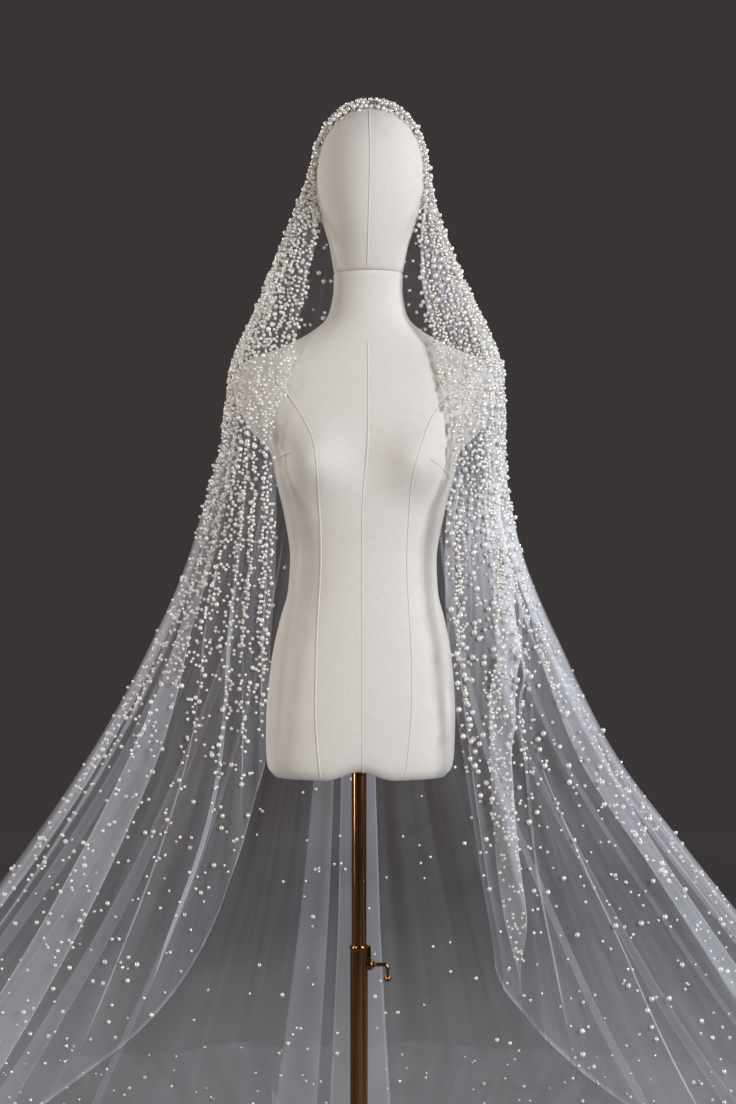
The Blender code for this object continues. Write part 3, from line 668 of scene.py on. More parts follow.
# the stand
stand = {
    "upper": {"radius": 0.0112, "bottom": 0.4305, "top": 0.8385},
    "lower": {"radius": 0.0133, "foot": 0.0073, "top": 0.4905, "rim": 0.0009, "rimHeight": 0.006},
    "base": {"radius": 0.165, "thick": 0.009, "dishRadius": 0.06, "dishTop": 0.0125, "hub": 0.026,
             "hubTop": 0.052, "flare": 0.006, "floor": 0.007},
    "round": 0.001,
    "gap": 0.0003,
    "sharp": 32,
    "sides": 72,
    "baseSides": 128,
}

clamp = {
    "height": 0.4615,
    "bossRadius": 0.0085,
    "bossEnd": 0.02,
    "shank": 0.003,
    "reach": 0.043,
    "drop": 0.0205,
    "bend": 0.006,
    "ball": 0.0056,
    "collar": 0.006,
    "round": 0.0004,
    "lug": (0.006, 0.007),
    "lugLow": -0.008,
    "sharp": 35,
    "sides": 24,
    "bossSides": 40,
}


def lathe(name, curve, sides):
    # a skin turned round Z from (radius, z) points, closed flat at both ends
    angles = turnsRound(sides)
    rings = [spots(r * np.cos(angles), r * np.sin(angles), z) for r, z in curve]
    piece = loft(name, rings, brass, (0, 0, curve[0][1]), (0, 0, curve[-1][1]))
    shadeSmooth(piece, stand["sharp"])
    return piece


def makeTubes():
    upper, lower, edge, gap = stand["upper"], stand["lower"], stand["round"], stand["gap"]
    outer = lathe("stand_pole_upper", [(upper["radius"], upper["bottom"]), (upper["radius"], upper["top"])],
                  stand["sides"])
    rim, top = lower["radius"] + lower["rim"], lower["top"]
    start = top - lower["rimHeight"]
    sleeve = lathe("stand_pole_lower", [
        (lower["radius"], lower["foot"]),
        (lower["radius"], start - edge),
        (rim - 0.3 * edge, start - 0.3 * edge),
        (rim, start + edge),
        (rim, top - edge),
        (rim - 0.3 * edge, top - 0.3 * edge),
        (rim - edge, top),
        (upper["radius"] + gap, top),
        (upper["radius"] + gap, upper["bottom"] - gap),
    ], stand["sides"])
    return outer, sleeve


def makeBase():
    base, edge = stand["base"], stand["round"]
    hub, thick, dish, top = (base[name] for name in ("hub", "thick", "dishTop", "hubTop"))
    rim = base["radius"] - 2 * edge
    curve = [(rim, 0.0)]
    for turn in np.linspace(-math.pi / 2, math.pi / 2, 9):
        curve.append((rim + 2 * edge * math.cos(turn), thick / 2 + (thick / 2 - 0.0001) * math.sin(turn)))
    for share in np.linspace(0.1, 1.0, 10):
        curve.append((rim - edge + (base["dishRadius"] - rim + edge) * share,
                      thick + (dish - thick) * share ** 1.5))
    for turn in np.linspace(0.1, 1.0, 10) * math.pi / 2:
        curve.append((hub + base["flare"] * 2 * (1 - math.sin(turn)) ** 1.2,
                      dish + base["flare"] * 1.6 * (1 - math.cos(turn))))
    bore = stand["lower"]["radius"] + stand["gap"]
    curve += [(hub, top - 3 * edge), (hub - edge, top - 1.2 * edge), (hub - 3 * edge, top), (bore, top),
              (bore, base["floor"])]
    return lathe("stand_foot", curve, stand["baseSides"])


def sweep(name, stations, sides):
    # round sections along the clamp screw: (x, z, radius, way it points), in the frame of its own axis
    turns, axis = turnsRound(sides), clamp["height"]
    rings = [spots(x + radius * np.cos(turns) * math.sin(way), radius * np.sin(turns),
                   axis + z + radius * np.cos(turns) * math.cos(way)) for x, z, radius, way in stations]
    first, last = ((x, 0, axis + z) for x, z, _, _ in (stations[0], stations[-1]))
    piece = loft(name, rings, brass, first, last)
    shadeSmooth(piece, clamp["sharp"])
    return piece


def makeHandle():
    # the screw with its collar, the bend down and the ball at its end
    shank, edge, wide, bend, ball = (clamp[name] for name in ("shank", "round", "collar", "bend", "ball"))
    start, collar = stand["lower"]["radius"] + edge, clamp["bossEnd"] + edge
    profile = [(start, shank - edge), (start + edge, shank), (collar, shank), (collar + 0.0001, wide - edge),
               (collar + 0.0005, wide), (collar + 0.0019, wide), (collar + 0.0023, wide - edge),
               (collar + 0.0028, shank + edge), (collar + 0.0036, shank)]
    stations = [(x, 0, radius, 0) for x, radius in profile]
    for turn in np.linspace(0, math.pi / 2, 11):
        stations.append((clamp["reach"] - bend + bend * math.sin(turn), -bend * (1 - math.cos(turn)),
                         shank, turn))
    neck = math.asin(0.75 * shank / ball)
    for step in range(15):
        swing = neck + (math.pi - neck) * step / 14.2
        stations.append((clamp["reach"], -clamp["drop"] + ball * math.cos(swing), ball * math.sin(swing),
                         math.pi / 2))
    return sweep("clamp_screw_handle", stations, clamp["sides"])


def makeBoss():
    # the threaded boss with a rounded rim, and the lug that joins it to the tube
    pole, end, radius = stand["lower"]["radius"], clamp["bossEnd"], clamp["bossRadius"]
    bore = clamp["shank"] + stand["gap"]
    profile = [(pole - 0.002, radius), (end - 0.0012, radius), (end - 0.0004, radius - 0.0005),
               (end, radius - 0.0013), (end, bore), (pole + 0.001, bore)]
    boss = sweep("clamp_boss_turned", [(x, 0, wide, 0) for x, wide in profile], clamp["bossSides"])
    shape = bmesh.new()
    bmesh.ops.create_cube(shape, size=1.0)
    low, high = clamp["lugLow"], stand["lower"]["top"] - clamp["height"] - 0.001
    bmesh.ops.scale(shape, vec=(*clamp["lug"], high - low), verts=shape.verts)
    bmesh.ops.translate(shape, vec=(pole + 0.0016, 0, clamp["height"] + (low + high) / 2), verts=shape.verts)
    bmesh.ops.bevel(shape, geom=shape.edges[:], offset=0.0009, segments=3, affect="EDGES", profile=0.5)
    lug = addMesh("clamp_lug", [], [], brass)
    shape.to_mesh(lug.data)
    shape.free()
    shadeSmooth(lug, clamp["sharp"])
    return boss, lug


poleUpper, poleLower = makeTubes()
finishPiece(poleUpper, ["stand_upper_tube"])
finishPiece(poleLower, ["stand_lower_tube"])
finishPiece(makeBase(), ["stand_base"])
boss, lug = makeBoss()
finishPiece(boss, ["clamp_boss"])
finishPiece(lug)
finishPiece(makeHandle(), ["clamp_handle"], "clamp_screw")
print("stand made")

# the veil: the front edge, the outermost fold and the back at each height, from the form's axis
veil = {
    "columns": ("z", "leftEdge", "leftSide", "rightEdge", "rightSide", "edgeY", "sideY", "backY"),
    "rows": (
        (1.7476, 0.0, 0.0, 0.0, 0.0, -0.008, -0.008, -0.008),
        (1.7444, 0.026, 0.026, 0.026, 0.026, -0.012, -0.004, 0.034),
        (1.733, 0.0495, 0.0495, 0.0495, 0.0495, -0.014, -0.002, 0.068),
        (1.712, 0.0675, 0.068, 0.0675, 0.068, -0.015, 0.0, 0.094),
        (1.685, 0.0785, 0.0795, 0.0785, 0.079, -0.015, 0.002, 0.108),
        (1.65, 0.083, 0.088, 0.083, 0.086, -0.015, 0.005, 0.116),
        (1.613, 0.083, 0.101, 0.083, 0.093, -0.018, 0.008, 0.117),
        (1.58, 0.08, 0.115, 0.08, 0.104, -0.022, 0.01, 0.118),
        (1.542, 0.08, 0.129, 0.077, 0.118, -0.03, 0.012, 0.119),
        (1.496, 0.089, 0.148, 0.078, 0.139, -0.04, 0.014, 0.121),
        (1.445, 0.097, 0.166, 0.086, 0.164, -0.05, 0.014, 0.125),
        (1.395, 0.106, 0.188, 0.097, 0.188, -0.06, 0.012, 0.13),
        (1.35, 0.112, 0.2035, 0.105, 0.2035, -0.067, 0.01, 0.136),
        (1.309, 0.124, 0.2075, 0.11, 0.207, -0.075, 0.014, 0.144),
        (1.249, 0.134, 0.216, 0.124, 0.209, -0.082, 0.022, 0.154),
        (1.195, 0.131, 0.229, 0.129, 0.213, -0.086, 0.03, 0.164),
        (1.129, 0.128, 0.248, 0.12, 0.225, -0.088, 0.04, 0.176),
        (1.068, 0.128, 0.266, 0.119, 0.242, -0.09, 0.05, 0.188),
        (0.93, 0.134, 0.325, 0.127, 0.303, -0.09, 0.07, 0.22),
        (0.775, 0.138, 0.408, 0.152, 0.384, -0.09, 0.09, 0.268),
        (0.618, 0.142, 0.514, 0.176, 0.502, -0.09, 0.11, 0.325),
        (0.459, 0.142, 0.64, 0.199, 0.632, -0.09, 0.13, 0.385),
        (0.298, 0.142, 0.786, 0.202, 0.772, -0.09, 0.15, 0.445),
        (0.15, 0.142, 0.925, 0.202, 0.92, -0.09, 0.17, 0.495),
        (0.0, 0.142, 1.06, 0.202, 1.065, -0.09, 0.19, 0.545),
    ),
    "floor": 0.0012,
    "fillet": 0.06,
    "train": {"length": 0.92, "power": 1.3, "step": 2.2, "focus": -0.6},
    "gridColumns": 700,
    "gridRows": 140,
    "rowCrowding": 1.35,
    "columnsAtPleats": (0.077, 1.5),
    "columnsAtEdges": (5.0, 0.02),
    "nearForm": (0.26, 0.16),
    "clear": 0.0025,
    "flat": (3.1, 2.9),
    "cutShare": 0.86,
}

# where the hem rises in front: at a height, the share of the way from edge to side that is cut away
hem = {
    "left": ((0.77, 0.0), (0.71, 0.03), (0.64, 0.058), (0.588, 0.085), (0.45, 0.159), (0.378, 0.213),
             (0.305, 0.285), (0.252, 0.335), (0.15, 0.44), (0.0, 0.6)),
    "right": ((0.472, 0.0), (0.446, 0.012), (0.39, 0.066), (0.349, 0.118), (0.311, 0.164),
              (0.281, 0.204), (0.252, 0.24), (0.15, 0.36), (0.0, 0.575)),
}

# soft ripples all round, in quarters: 0 left edge, 1 left side, 2 back, 3 right side, 4 right edge
ripples = {
    "columns": ("at", "width", "rise"),
    "rows": (
        (0.07, 0.07, 0.6), (0.17, 0.075, 1.0), (0.275, 0.08, 0.85), (0.385, 0.075, 1.1),
        (0.48, 0.07, 0.7), (0.58, 0.09, 1.2), (0.69, 0.07, 0.75), (0.79, 0.08, 1.0),
        (0.9, 0.075, 0.7), (1.03, 0.09, 0.9), (1.17, 0.09, 1.15), (1.31, 0.085, 0.8),
        (1.44, 0.09, 1.05), (1.57, 0.08, 0.75), (1.69, 0.085, 1.0), (1.8, 0.065, 0.8),
        (1.905, 0.075, 1.45), (2.045, 0.08, 1.35), (2.15, 0.065, 0.75), (2.27, 0.085, 1.05),
        (2.4, 0.08, 0.8), (2.53, 0.09, 1.1), (2.67, 0.085, 0.85), (2.81, 0.09, 1.15),
        (2.95, 0.085, 0.9), (3.08, 0.07, 0.7), (3.18, 0.075, 1.05), (3.29, 0.07, 0.75),
        (3.39, 0.08, 1.1), (3.5, 0.085, 1.25), (3.6, 0.07, 0.8), (3.7, 0.075, 1.0),
        (3.81, 0.085, 1.6), (3.925, 0.07, 0.7),
    ),
    "share": 0.45,
    "middle": 0.56,
    "onFloor": 0.01,
    "lying": (0.93, 1.03),
}

rippleDepth = {
    "columns": ("z", "depth", "crowd"),
    "rows": ((1.7476, 0.0, 0.0), (1.61, 0.0, 0.0), (1.52, 0.004, 0.0), (1.445, 0.007, 0.0),
             (1.35, 0.005, 0.0), (1.25, 0.008, 0.01), (1.068, 0.016, 0.03), (0.85, 0.026, 0.07),
             (0.6, 0.036, 0.1), (0.35, 0.042, 0.105), (0.0, 0.044, 0.105)),
}

# pleats where the net doubles over itself: place on the floor and at four heights, half the cloth taken up,
# half the lap low down and at the top, how far the layers lift, which side lies on top, the height where it
# starts, how white and how crisp it is, and how much closer the net lies from here to the next one
pleats = {
    "columns": ("cloth", "at45", "at77", "at107", "at130", "wide", "lapLow", "lapTop", "lift", "turn",
                "start", "fine", "crisp", "panel"),
    "rows": (
        (0.055, 0.055, 0.055, 0.078, 0.085, 0.005, 0.0008, 0.007, 0.25, 1, 1.5, 0.2, 0.9, 0.06),
        (0.15, 0.15, 0.155, 0.215, 0.23, 0.006, 0.0008, 0.008, 0.3, -1, 1.44, 0.2, 1.0, 0.1),
        (0.3, 0.285, 0.238, 0.285, 0.31, 0.006, 0.001, 0.009, 0.35, 1, 1.46, 0.2, 1.0, 0.04),
        (0.352, 0.345, 0.332, 0.4, 0.405, 0.005, 0.0006, 0.006, 0.25, -1, 1.3, 0.1, 0.6, 0.05),
        (0.455, 0.452, 0.455, 0.53, 0.54, 0.011, 0.026, 0.036, 0.9, 1, 1.42, 0.16, 1.0, 0.08),
        (0.6, 0.6, 0.6, 0.65, 0.66, 0.006, 0.001, 0.008, 0.3, -1, 1.4, 0.1, 0.8, -0.03),
        (0.705, 0.705, 0.705, 0.74, 0.75, 0.008, 0.01, 0.014, 0.5, 1, 1.36, 0.1, 0.8, -0.07),
        (0.815, 0.815, 0.815, 0.835, 0.84, 0.006, 0.001, 0.008, 0.3, -1, 1.3, 0.1, 0.7, -0.08),
        (0.925, 0.925, 0.925, 0.93, 0.935, 0.006, 0.0015, 0.008, 0.35, 1, 1.34, 0.05, 0.7, -0.09),
        (1.07, 1.07, 1.07, 1.075, 1.08, 0.009, 0.012, 0.014, 0.5, -1, 1.3, 0.05, 0.5, -0.08),
        (1.185, 1.185, 1.185, 1.19, 1.19, 0.007, 0.005, 0.01, 0.4, 1, 1.42, 0.0, 0.5, -0.08),
        (1.3, 1.3, 1.3, 1.3, 1.3, 0.011, 0.02, 0.018, 0.7, -1, 1.35, 0.08, 0.4, -0.02),
        (1.425, 1.425, 1.425, 1.43, 1.43, 0.008, 0.006, 0.01, 0.4, 1, 1.25, 0.0, 0.4, -0.04),
        (1.545, 1.545, 1.545, 1.55, 1.55, 0.01, 0.016, 0.016, 0.6, -1, 1.4, 0.05, 0.4, 0.02),
        (1.68, 1.68, 1.68, 1.67, 1.66, 0.008, 0.006, 0.01, 0.4, 1, 1.2, 0.0, 0.4, 0.0),
        (1.926, 1.922, 1.913, 1.905, 1.9, 0.011, 0.025, 0.025, 0.9, 1, 1.55, 0.1, 0.5, 0.0),
        (2.0, 1.998, 1.996, 1.996, 1.996, 0.011, 0.036, 0.054, 0.7, -1, 1.55, 0.1, 0.5, 0.0),
        (2.35, 2.35, 2.35, 2.355, 2.355, 0.008, 0.007, 0.01, 0.4, 1, 1.25, 0.0, 0.4, 0.05),
        (2.48, 2.48, 2.48, 2.48, 2.48, 0.011, 0.017, 0.018, 0.7, -1, 1.4, 0.08, 0.4, 0.0),
        (2.61, 2.61, 2.61, 2.6, 2.6, 0.008, 0.006, 0.01, 0.4, 1, 1.2, 0.0, 0.4, 0.06),
        (2.735, 2.735, 2.735, 2.73, 2.73, 0.011, 0.019, 0.018, 0.6, -1, 1.38, 0.05, 0.4, -0.02),
        (2.86, 2.86, 2.86, 2.855, 2.85, 0.007, 0.006, 0.01, 0.4, 1, 1.3, 0.0, 0.5, -0.02),
        (2.965, 2.965, 2.965, 2.96, 2.955, 0.007, 0.005, 0.01, 0.35, -1, 1.34, 0.05, 0.5, -0.04),
        (3.06, 3.06, 3.06, 3.05, 3.045, 0.007, 0.005, 0.009, 0.35, 1, 1.34, 0.05, 0.7, -0.04),
        (3.16, 3.16, 3.16, 3.13, 3.12, 0.006, 0.0012, 0.008, 0.3, -1, 1.3, 0.1, 0.7, -0.02),
        (3.275, 3.275, 3.27, 3.22, 3.21, 0.009, 0.012, 0.016, 0.5, 1, 1.36, 0.15, 0.8, 0.13),
        (3.48, 3.472, 3.435, 3.35, 3.34, 0.011, 0.031, 0.036, 0.9, -1, 1.4, 0.22, 1.0, 0.0),
        (3.62, 3.642, 3.64, 3.43, 3.42, 0.006, 0.001, 0.007, 0.3, 1, 1.25, 0.25, 1.0, 0.08),
        (3.745, 3.765, 3.695, 3.465, 3.45, 0.006, 0.0012, 0.007, 0.35, -1, 1.25, 0.25, 1.0, 0.02),
        (3.86, 3.85, 3.779, 3.555, 3.54, 0.011, 0.029, 0.06, 1.0, -1, 1.4, 0.4, 1.0, 0.1),
        (3.935, 3.93, 3.925, 3.87, 3.86, 0.005, 0.0008, 0.007, 0.25, 1, 1.45, 0.2, 0.9, 0.16),
    ),
    "heights": (0.0, 0.45, 0.77, 1.07, 1.3),
    "grow": 0.22,
    "lifts": ((1.6, 0.0012), (1.35, 0.002), (1.2, 0.004), (1.0, 0.007), (0.77, 0.01), (0.45, 0.013),
              (0.0, 0.014)),
    "floorLift": 0.0045,
    "lapHeights": (0.45, 1.3),
    "reach": {"pressed": 1.4, "fine": 1.1, "crisp": 1.6, "clump": 6, "turnBack": 0.8},
    "taken": 0.6,
    "thinLap": 0.01,
    "frontTo": (0.5, 0.7),
    "endsFrom": (0.02, 0.2),
    "footFade": (0.99, 1.12),
    "floorFade": 0.45,
    "trainFade": (1.1, 1.34),
    "clumpNear": 0.008,
    "edgePanel": 0.12,
    "panelFrom": (1.5, 1.15),
    "panelTo": (0.75, 0.4),
    "panelFade": 0.5,
    "thinFrom": (0.95, 0.5),
    "thinner": 0.7,
}

# how much closer the net lies high up, on the left and the right, and along its front edge
closeness = {
    "columns": ("z", "left", "right", "edge"),
    "rows": (
        (1.7476, 0.05, 0.08, 0.1), (1.64, 0.1, 0.22, 0.3),
        (1.5, 0.16, 0.65, 0.4), (1.35, 0.16, 1.45, 0.3),
        (1.2, 0.08, 1.5, 0.15), (1.07, 0.02, 0.85, 0.1),
        (0.95, 0.0, 0.3, 0.05), (0.8, 0.0, 0.02, 0.0),
    ),
    "edgeWide": 0.05,
    "hemShade": 0.8,
    "hemHigh": (1.05, 1.2),
    "hemLess": 0.7,
    "leftTo": (0.7, 1.1),
    "rightFrom": (2.9, 3.3),
    "limits": (-0.2, 1.6),
    "formLow": (1.12, 1.22),
    "formHigh": (1.4, 1.47),
    "formTo": (0.16, 0.3),
    "formLess": 0.75,
    "trainHem": -0.12,
    "train": -0.15,
    "trainFrom": (1.02, 1.2),
}

veilLevel = {name: column(veil, name) for name in veil["columns"]}
veilRun = runAlong(np.hypot(np.diff(veilLevel["leftSide"]), np.diff(veilLevel["z"])))
veilLength = veilRun[-1]
veilRun = veilRun / veilLength


def levelValue(name, down):
    return smoothCurve(np.minimum(down, 1.0), veilRun, veilLevel[name])


def fromEdge(at):
    # the place from the nearer front edge, 2 at the back
    return np.where(at <= 2.0, at, 4.0 - at)


def crowded(q, z):
    # moves a place between the edge (0) and the side (1) towards both, more so lower down
    return q - valueAt(rippleDepth, "crowd", z) * np.sin(2 * math.pi * (q + 0.35 * q * (1 - q)))


def veilSection(at, down):
    # a point of the plain veil; at is in quarters round, down is 1 where the floor begins
    z = levelValue("z", down)
    left = at <= 2.0
    edge, side = (np.where(left, -levelValue("left" + name, down), levelValue("right" + name, down))
                  for name in ("Edge", "Side"))
    edgeY, sideY, backY = (levelValue(name, down) for name in ("edgeY", "sideY", "backY"))
    q = fromEdge(at)
    front = np.clip(crowded(np.minimum(q, 1.0), z), 0.0, 1.0) * math.pi / 2
    rear = np.clip(q - 1.0, 0.0, 1.0) * math.pi / 2
    x = np.where(q <= 1.0, edge + (side - edge) * np.sin(front), side * np.cos(rear))
    y = np.where(q <= 1.0, sideY + (edgeY - sideY) * np.cos(front), sideY + (backY - sideY) * np.sin(rear))
    return spots(x + axisX(z), y, z + veil["floor"] * np.minimum(down, 1.0))


def veilBase(at, down):
    # the plain veil, rounded into the train where it meets the floor
    at, down = np.broadcast_arrays(np.asarray(at, float), np.asarray(down, float))
    train, fillet = veil["train"], veil["fillet"]
    corner = veilSection(at, np.ones_like(down))
    away = unit((corner - np.array((0.0, train["focus"], 0.0))) * np.array((1.0, 1.0, 0.0)))
    lying = corner + away * (np.maximum(down - 1.0, 0.0) * train["step"])[..., None]
    start = veilSection(at, np.full_like(down, 1 - fillet))
    end = corner + away * np.full_like(down, fillet * train["step"])[..., None]
    s = np.clip((down - 1 + fillet) / (2 * fillet), 0.0, 1.0)[..., None]
    bend = (1 - s) ** 2 * start + 2 * s * (1 - s) * corner + s * s * end
    point = np.where(down[..., None] < 1 - fillet, veilSection(at, down), bend)
    return np.where(down[..., None] > 1 + fillet, lying, point)


def rippleShape(at):
    height = np.zeros_like(at)
    for place, width, rise in ripples["rows"]:
        away = np.minimum(np.abs(at - place) / (width / 2), 1.0)
        height += rise * (0.5 + 0.5 * np.cos(math.pi * away)) * (away < 1)
    return height


def veilNormal(at, down, step=1e-4):
    along = veilBase(np.minimum(at + step, 4.0), down) - veilBase(np.maximum(at - step, 0.0), down)
    steep = veilBase(at, np.maximum(down - step, 0.0)) - veilBase(at, down + step)
    normal = np.cross(steep, along)
    length = np.linalg.norm(normal, axis=-1, keepdims=True)
    return np.where(length > 1e-12, normal / np.maximum(length, 1e-12), np.array((0.0, 0.0, 1.0)))


def hemEnd(at):
    # how far down the veil reaches at a place round it
    q = fromEdge(at)
    heights, shares = np.array(hem["left" if at <= 2.0 else "right"]).T

    def beyond(place, down):
        z = float(levelValue("z", down))
        share = float(crowded(min(place, 1.0), z)) if place <= 1.0 else 1.0
        return z < heights[0] and float(smoothCurve(z, heights, shares)) >= share

    def firstWhere(test):
        low, high = 0.0, 1.0
        for _ in range(26):
            middle = (low + high) / 2
            low, high = (low, middle) if test(middle) else (middle, high)
        return high

    if beyond(q, 1.0):
        return firstWhere(lambda down: beyond(q, down))
    first = firstWhere(lambda place: not beyond(place, 1.0))
    train = veil["train"]
    share = (q - first) / (2.0 - first)
    return 1.0 + train["length"] * (0.5 - 0.5 * math.cos(math.pi * share)) ** train["power"] / train["step"]


def clothColumns():
    # places across the cloth, closer together where it is pleated and at its edges
    fine = np.linspace(0.0, 4.0, 8001)
    weight = np.ones_like(fine)
    more, reach = veil["columnsAtPleats"]
    for place, wide in zip(column(pleats, "cloth"), column(pleats, "wide")):
        weight += more / wide * np.exp(-((fine - place) / (reach * wide)) ** 2)
    more, reach = veil["columnsAtEdges"]
    for place in (0.0, 4.0):
        weight += more * np.exp(-((fine - place) / reach) ** 2)
    total = runAlong((weight[1:] + weight[:-1]) / 2)
    return np.interp(np.linspace(0, total[-1], veil["gridColumns"] + 1), total, fine)


def clothPlaces(cloth, z):
    # where each place of the unpleated cloth goes round the veil, at its height
    ends = [np.concatenate(([0.0], column(pleats, name), [4.0])) for name in pleats["columns"][:5]]
    byHeight = np.array([smoothCurve(cloth, ends[0], places) for places in ends])
    return np.stack([smoothCurve(z[:, c], pleats["heights"], byHeight[:, c]) for c in range(len(cloth))],
                    axis=-1)


def closerNet(cloth, z):
    # how much closer the net lies between pleats, near its edge, and high up on either side
    cloth = cloth[None, :]
    panel = np.searchsorted(column(pleats, "cloth"), cloth)
    closer = np.append(pleats["edgePanel"], column(pleats, "panel"))[panel] * fade(z, *pleats["panelFrom"])
    closer = closer * (1 - pleats["panelFade"] * fade(z, *pleats["panelTo"]) * (closer > 0))
    where = {"edge": np.exp(-(np.minimum(cloth, 4 - cloth) / closeness["edgeWide"]) ** 2),
             "left": 1 - fade(cloth, *closeness["leftTo"]), "right": fade(cloth, *closeness["rightFrom"])}
    for name, share in where.items():
        closer = closer + valueAt(closeness, name, z) * share
    return closer


def pleatedPlaces(cloth, down, ends):
    # the pleats double the cloth over: where each point lands, how far it lifts, how gathered it is,
    # how much it is pressed and how close it lies to a crease
    z = levelValue("z", down)
    plain = clothPlaces(cloth, z)
    spread = np.gradient(plain, axis=1) / np.gradient(cloth)[None, :]
    step = 0.005
    across = veilBase(np.minimum(plain + step, 4.0), down) - veilBase(np.maximum(plain - step, 0.0), down)
    quarter = np.linalg.norm(across, axis=-1) / (2 * step)
    toEnd = (ends[None, :] - down) * veilLength
    edgeAway = np.minimum(cloth, 4 - cloth)[None, :]
    front = 1 - fade(edgeAway, *pleats["frontTo"])
    fading = 1 - front * (1 - fade(toEnd, *pleats["endsFrom"]))
    fading = fading * (1 - (1 - pleats["floorFade"]) * fade(down, *pleats["footFade"]))
    fading = fading * (1 - fade(down, *pleats["trainFade"]))
    at = plain.copy()
    lift, pressed, fine, clump, crisp = (np.zeros_like(plain) for _ in range(5))
    lowest, highest = pleats["lapHeights"]
    high = np.clip((z - lowest) / (highest - lowest), 0, 1)
    reach, bellPeak = pleats["reach"], 0.43  # the bell's peak is where the pleat takes up most cloth
    for row in pleats["rows"]:
        pleat = dict(zip(pleats["columns"], row))
        half = pleat["wide"]
        x = (cloth - pleat["cloth"])[None, :] / half
        bell = x * np.exp(-x * x)
        grown = fade(z, pleat["start"], pleat["start"] - pleats["grow"]) * fading
        thin = 1 - pleats["thinner"] * fade(z, *pleats["thinFrom"]) * (pleat["lapLow"] < pleats["thinLap"])
        lap = pleat["lapLow"] + (pleat["lapTop"] - pleat["lapLow"]) * high
        move = grown * (lap + pleats["taken"] * half * spread) / bellPeak * bell
        at -= move
        lift -= grown * thin * pleat["lift"] * pleat["turn"] * bell / bellPeak
        pressed += grown * np.exp(-(x / reach["pressed"]) ** 2)
        fine += grown * thin * pleat["fine"] * np.exp(-(x / reach["fine"]) ** 4)
        crisp += grown * pleat["crisp"] * np.exp(-(x / reach["crisp"]) ** 4)
        middle = smoothCurve(z, pleats["heights"], row[:5])
        for side in (-1, 1):
            away = (plain - move - middle - side * lap) * quarter / pleats["clumpNear"]
            clump += grown * np.exp(-away * away) * (np.abs(x) < reach["clump"])
    turnBack = np.abs(np.gradient(at, axis=1) / np.gradient(cloth)[None, :]) / np.maximum(spread, 0.2)
    creased = np.exp(-(turnBack / reach["turnBack"]) ** 2) * crisp
    onForm = fade(z, *closeness["formLow"]) * (1 - fade(z, *closeness["formHigh"]))
    onForm = onForm * (1 - fade(edgeAway, *closeness["formTo"]))
    gathered = (creased + fine + closerNet(cloth, z)) * (1 - closeness["formLess"] * onForm)
    return np.clip(at, 0.0, 4.0), lift, gathered, np.clip(pressed, 0, 1), np.clip(clump, 0, 1.5)


def veilSurface(at, down, lift, pressed):
    z = levelValue("z", down)
    lyingFrom, lyingTo = ripples["lying"]
    lying = np.clip((down - lyingFrom) / (lyingTo - lyingFrom), 0.0, 1.0)
    depth = valueAt(rippleDepth, "depth", z) * ripples["share"] * (1 - lying) + ripples["onFloor"] * lying
    raised = smoothCurve(z, *np.array(pleats["lifts"]).T) * (1 - lying) * lift
    raised += pleats["floorLift"] * lying * (lift + 1.0) * pressed
    offset = depth * (rippleShape(at) - ripples["middle"] * (1 - lying)) + raised
    point = veilBase(at, down) + veilNormal(at, down) * offset[..., None]
    point[..., 2] = np.maximum(point[..., 2], veil["floor"])
    return point


def keepClear(points, skins):
    # the net lies on the form and never inside it
    flat = points.reshape(-1, 3)
    wide, deep = veil["nearForm"]
    near = (flat[:, 2] > form["bottom"] - 0.01) & (np.abs(flat[:, 0]) < wide) & (np.abs(flat[:, 1]) < deep)
    for i in np.flatnonzero(near):
        for skin in skins:
            place = Vector(flat[i])
            spot, normal, _, away = skin.find_nearest(place, 0.03)
            if spot is not None and ((place - spot).dot(normal) < 0 or away < veil["clear"]):
                flat[i] = spot + normal * veil["clear"]
    return flat.reshape(points.shape)


def gridObject(name, points, finish):
    # a sheet of quads whose first row is one point
    rows, columns = points.shape[:2]
    numbers = np.arange(rows * columns).reshape(rows, columns) - columns + 1
    numbers[0] = 0
    corners = np.stack((numbers[:-1, :-1], numbers[:-1, 1:], numbers[1:, 1:], numbers[1:, :-1]), axis=-1)
    faces = corners.reshape(-1, 4).tolist()
    faces[:columns - 1] = [face[1:] for face in faces[:columns - 1]]
    return addMesh(name, [points[0, 0], *points[1:].reshape(-1, 3)], faces, finish)


def perPoint(values):
    # one number a point; the first row of the grid is one point
    return np.concatenate((values[:1, 0], values[1:].ravel())).astype(np.float32)


def giveNumbers(piece, name, values):
    piece.data.attributes.new(name, "FLOAT", "POINT").data.foreach_set("value", values)


def giveClothUv(piece, points):
    # the cloth laid out flat, in metres
    across = np.linalg.norm(np.diff(points, axis=1, prepend=points[:, :1]), axis=-1).cumsum(axis=1)
    along = np.linalg.norm(np.diff(points, axis=0, prepend=points[:1]), axis=-1).cumsum(axis=0)
    corners = np.empty(len(piece.data.loops), dtype=np.int32)
    piece.data.loops.foreach_get("vertex_index", corners)
    flat = np.stack((perPoint(across)[corners], perPoint(along)[corners]), axis=-1)
    piece.data.uv_layers.new(name="flat").data.foreach_set("uv", flat.ravel())


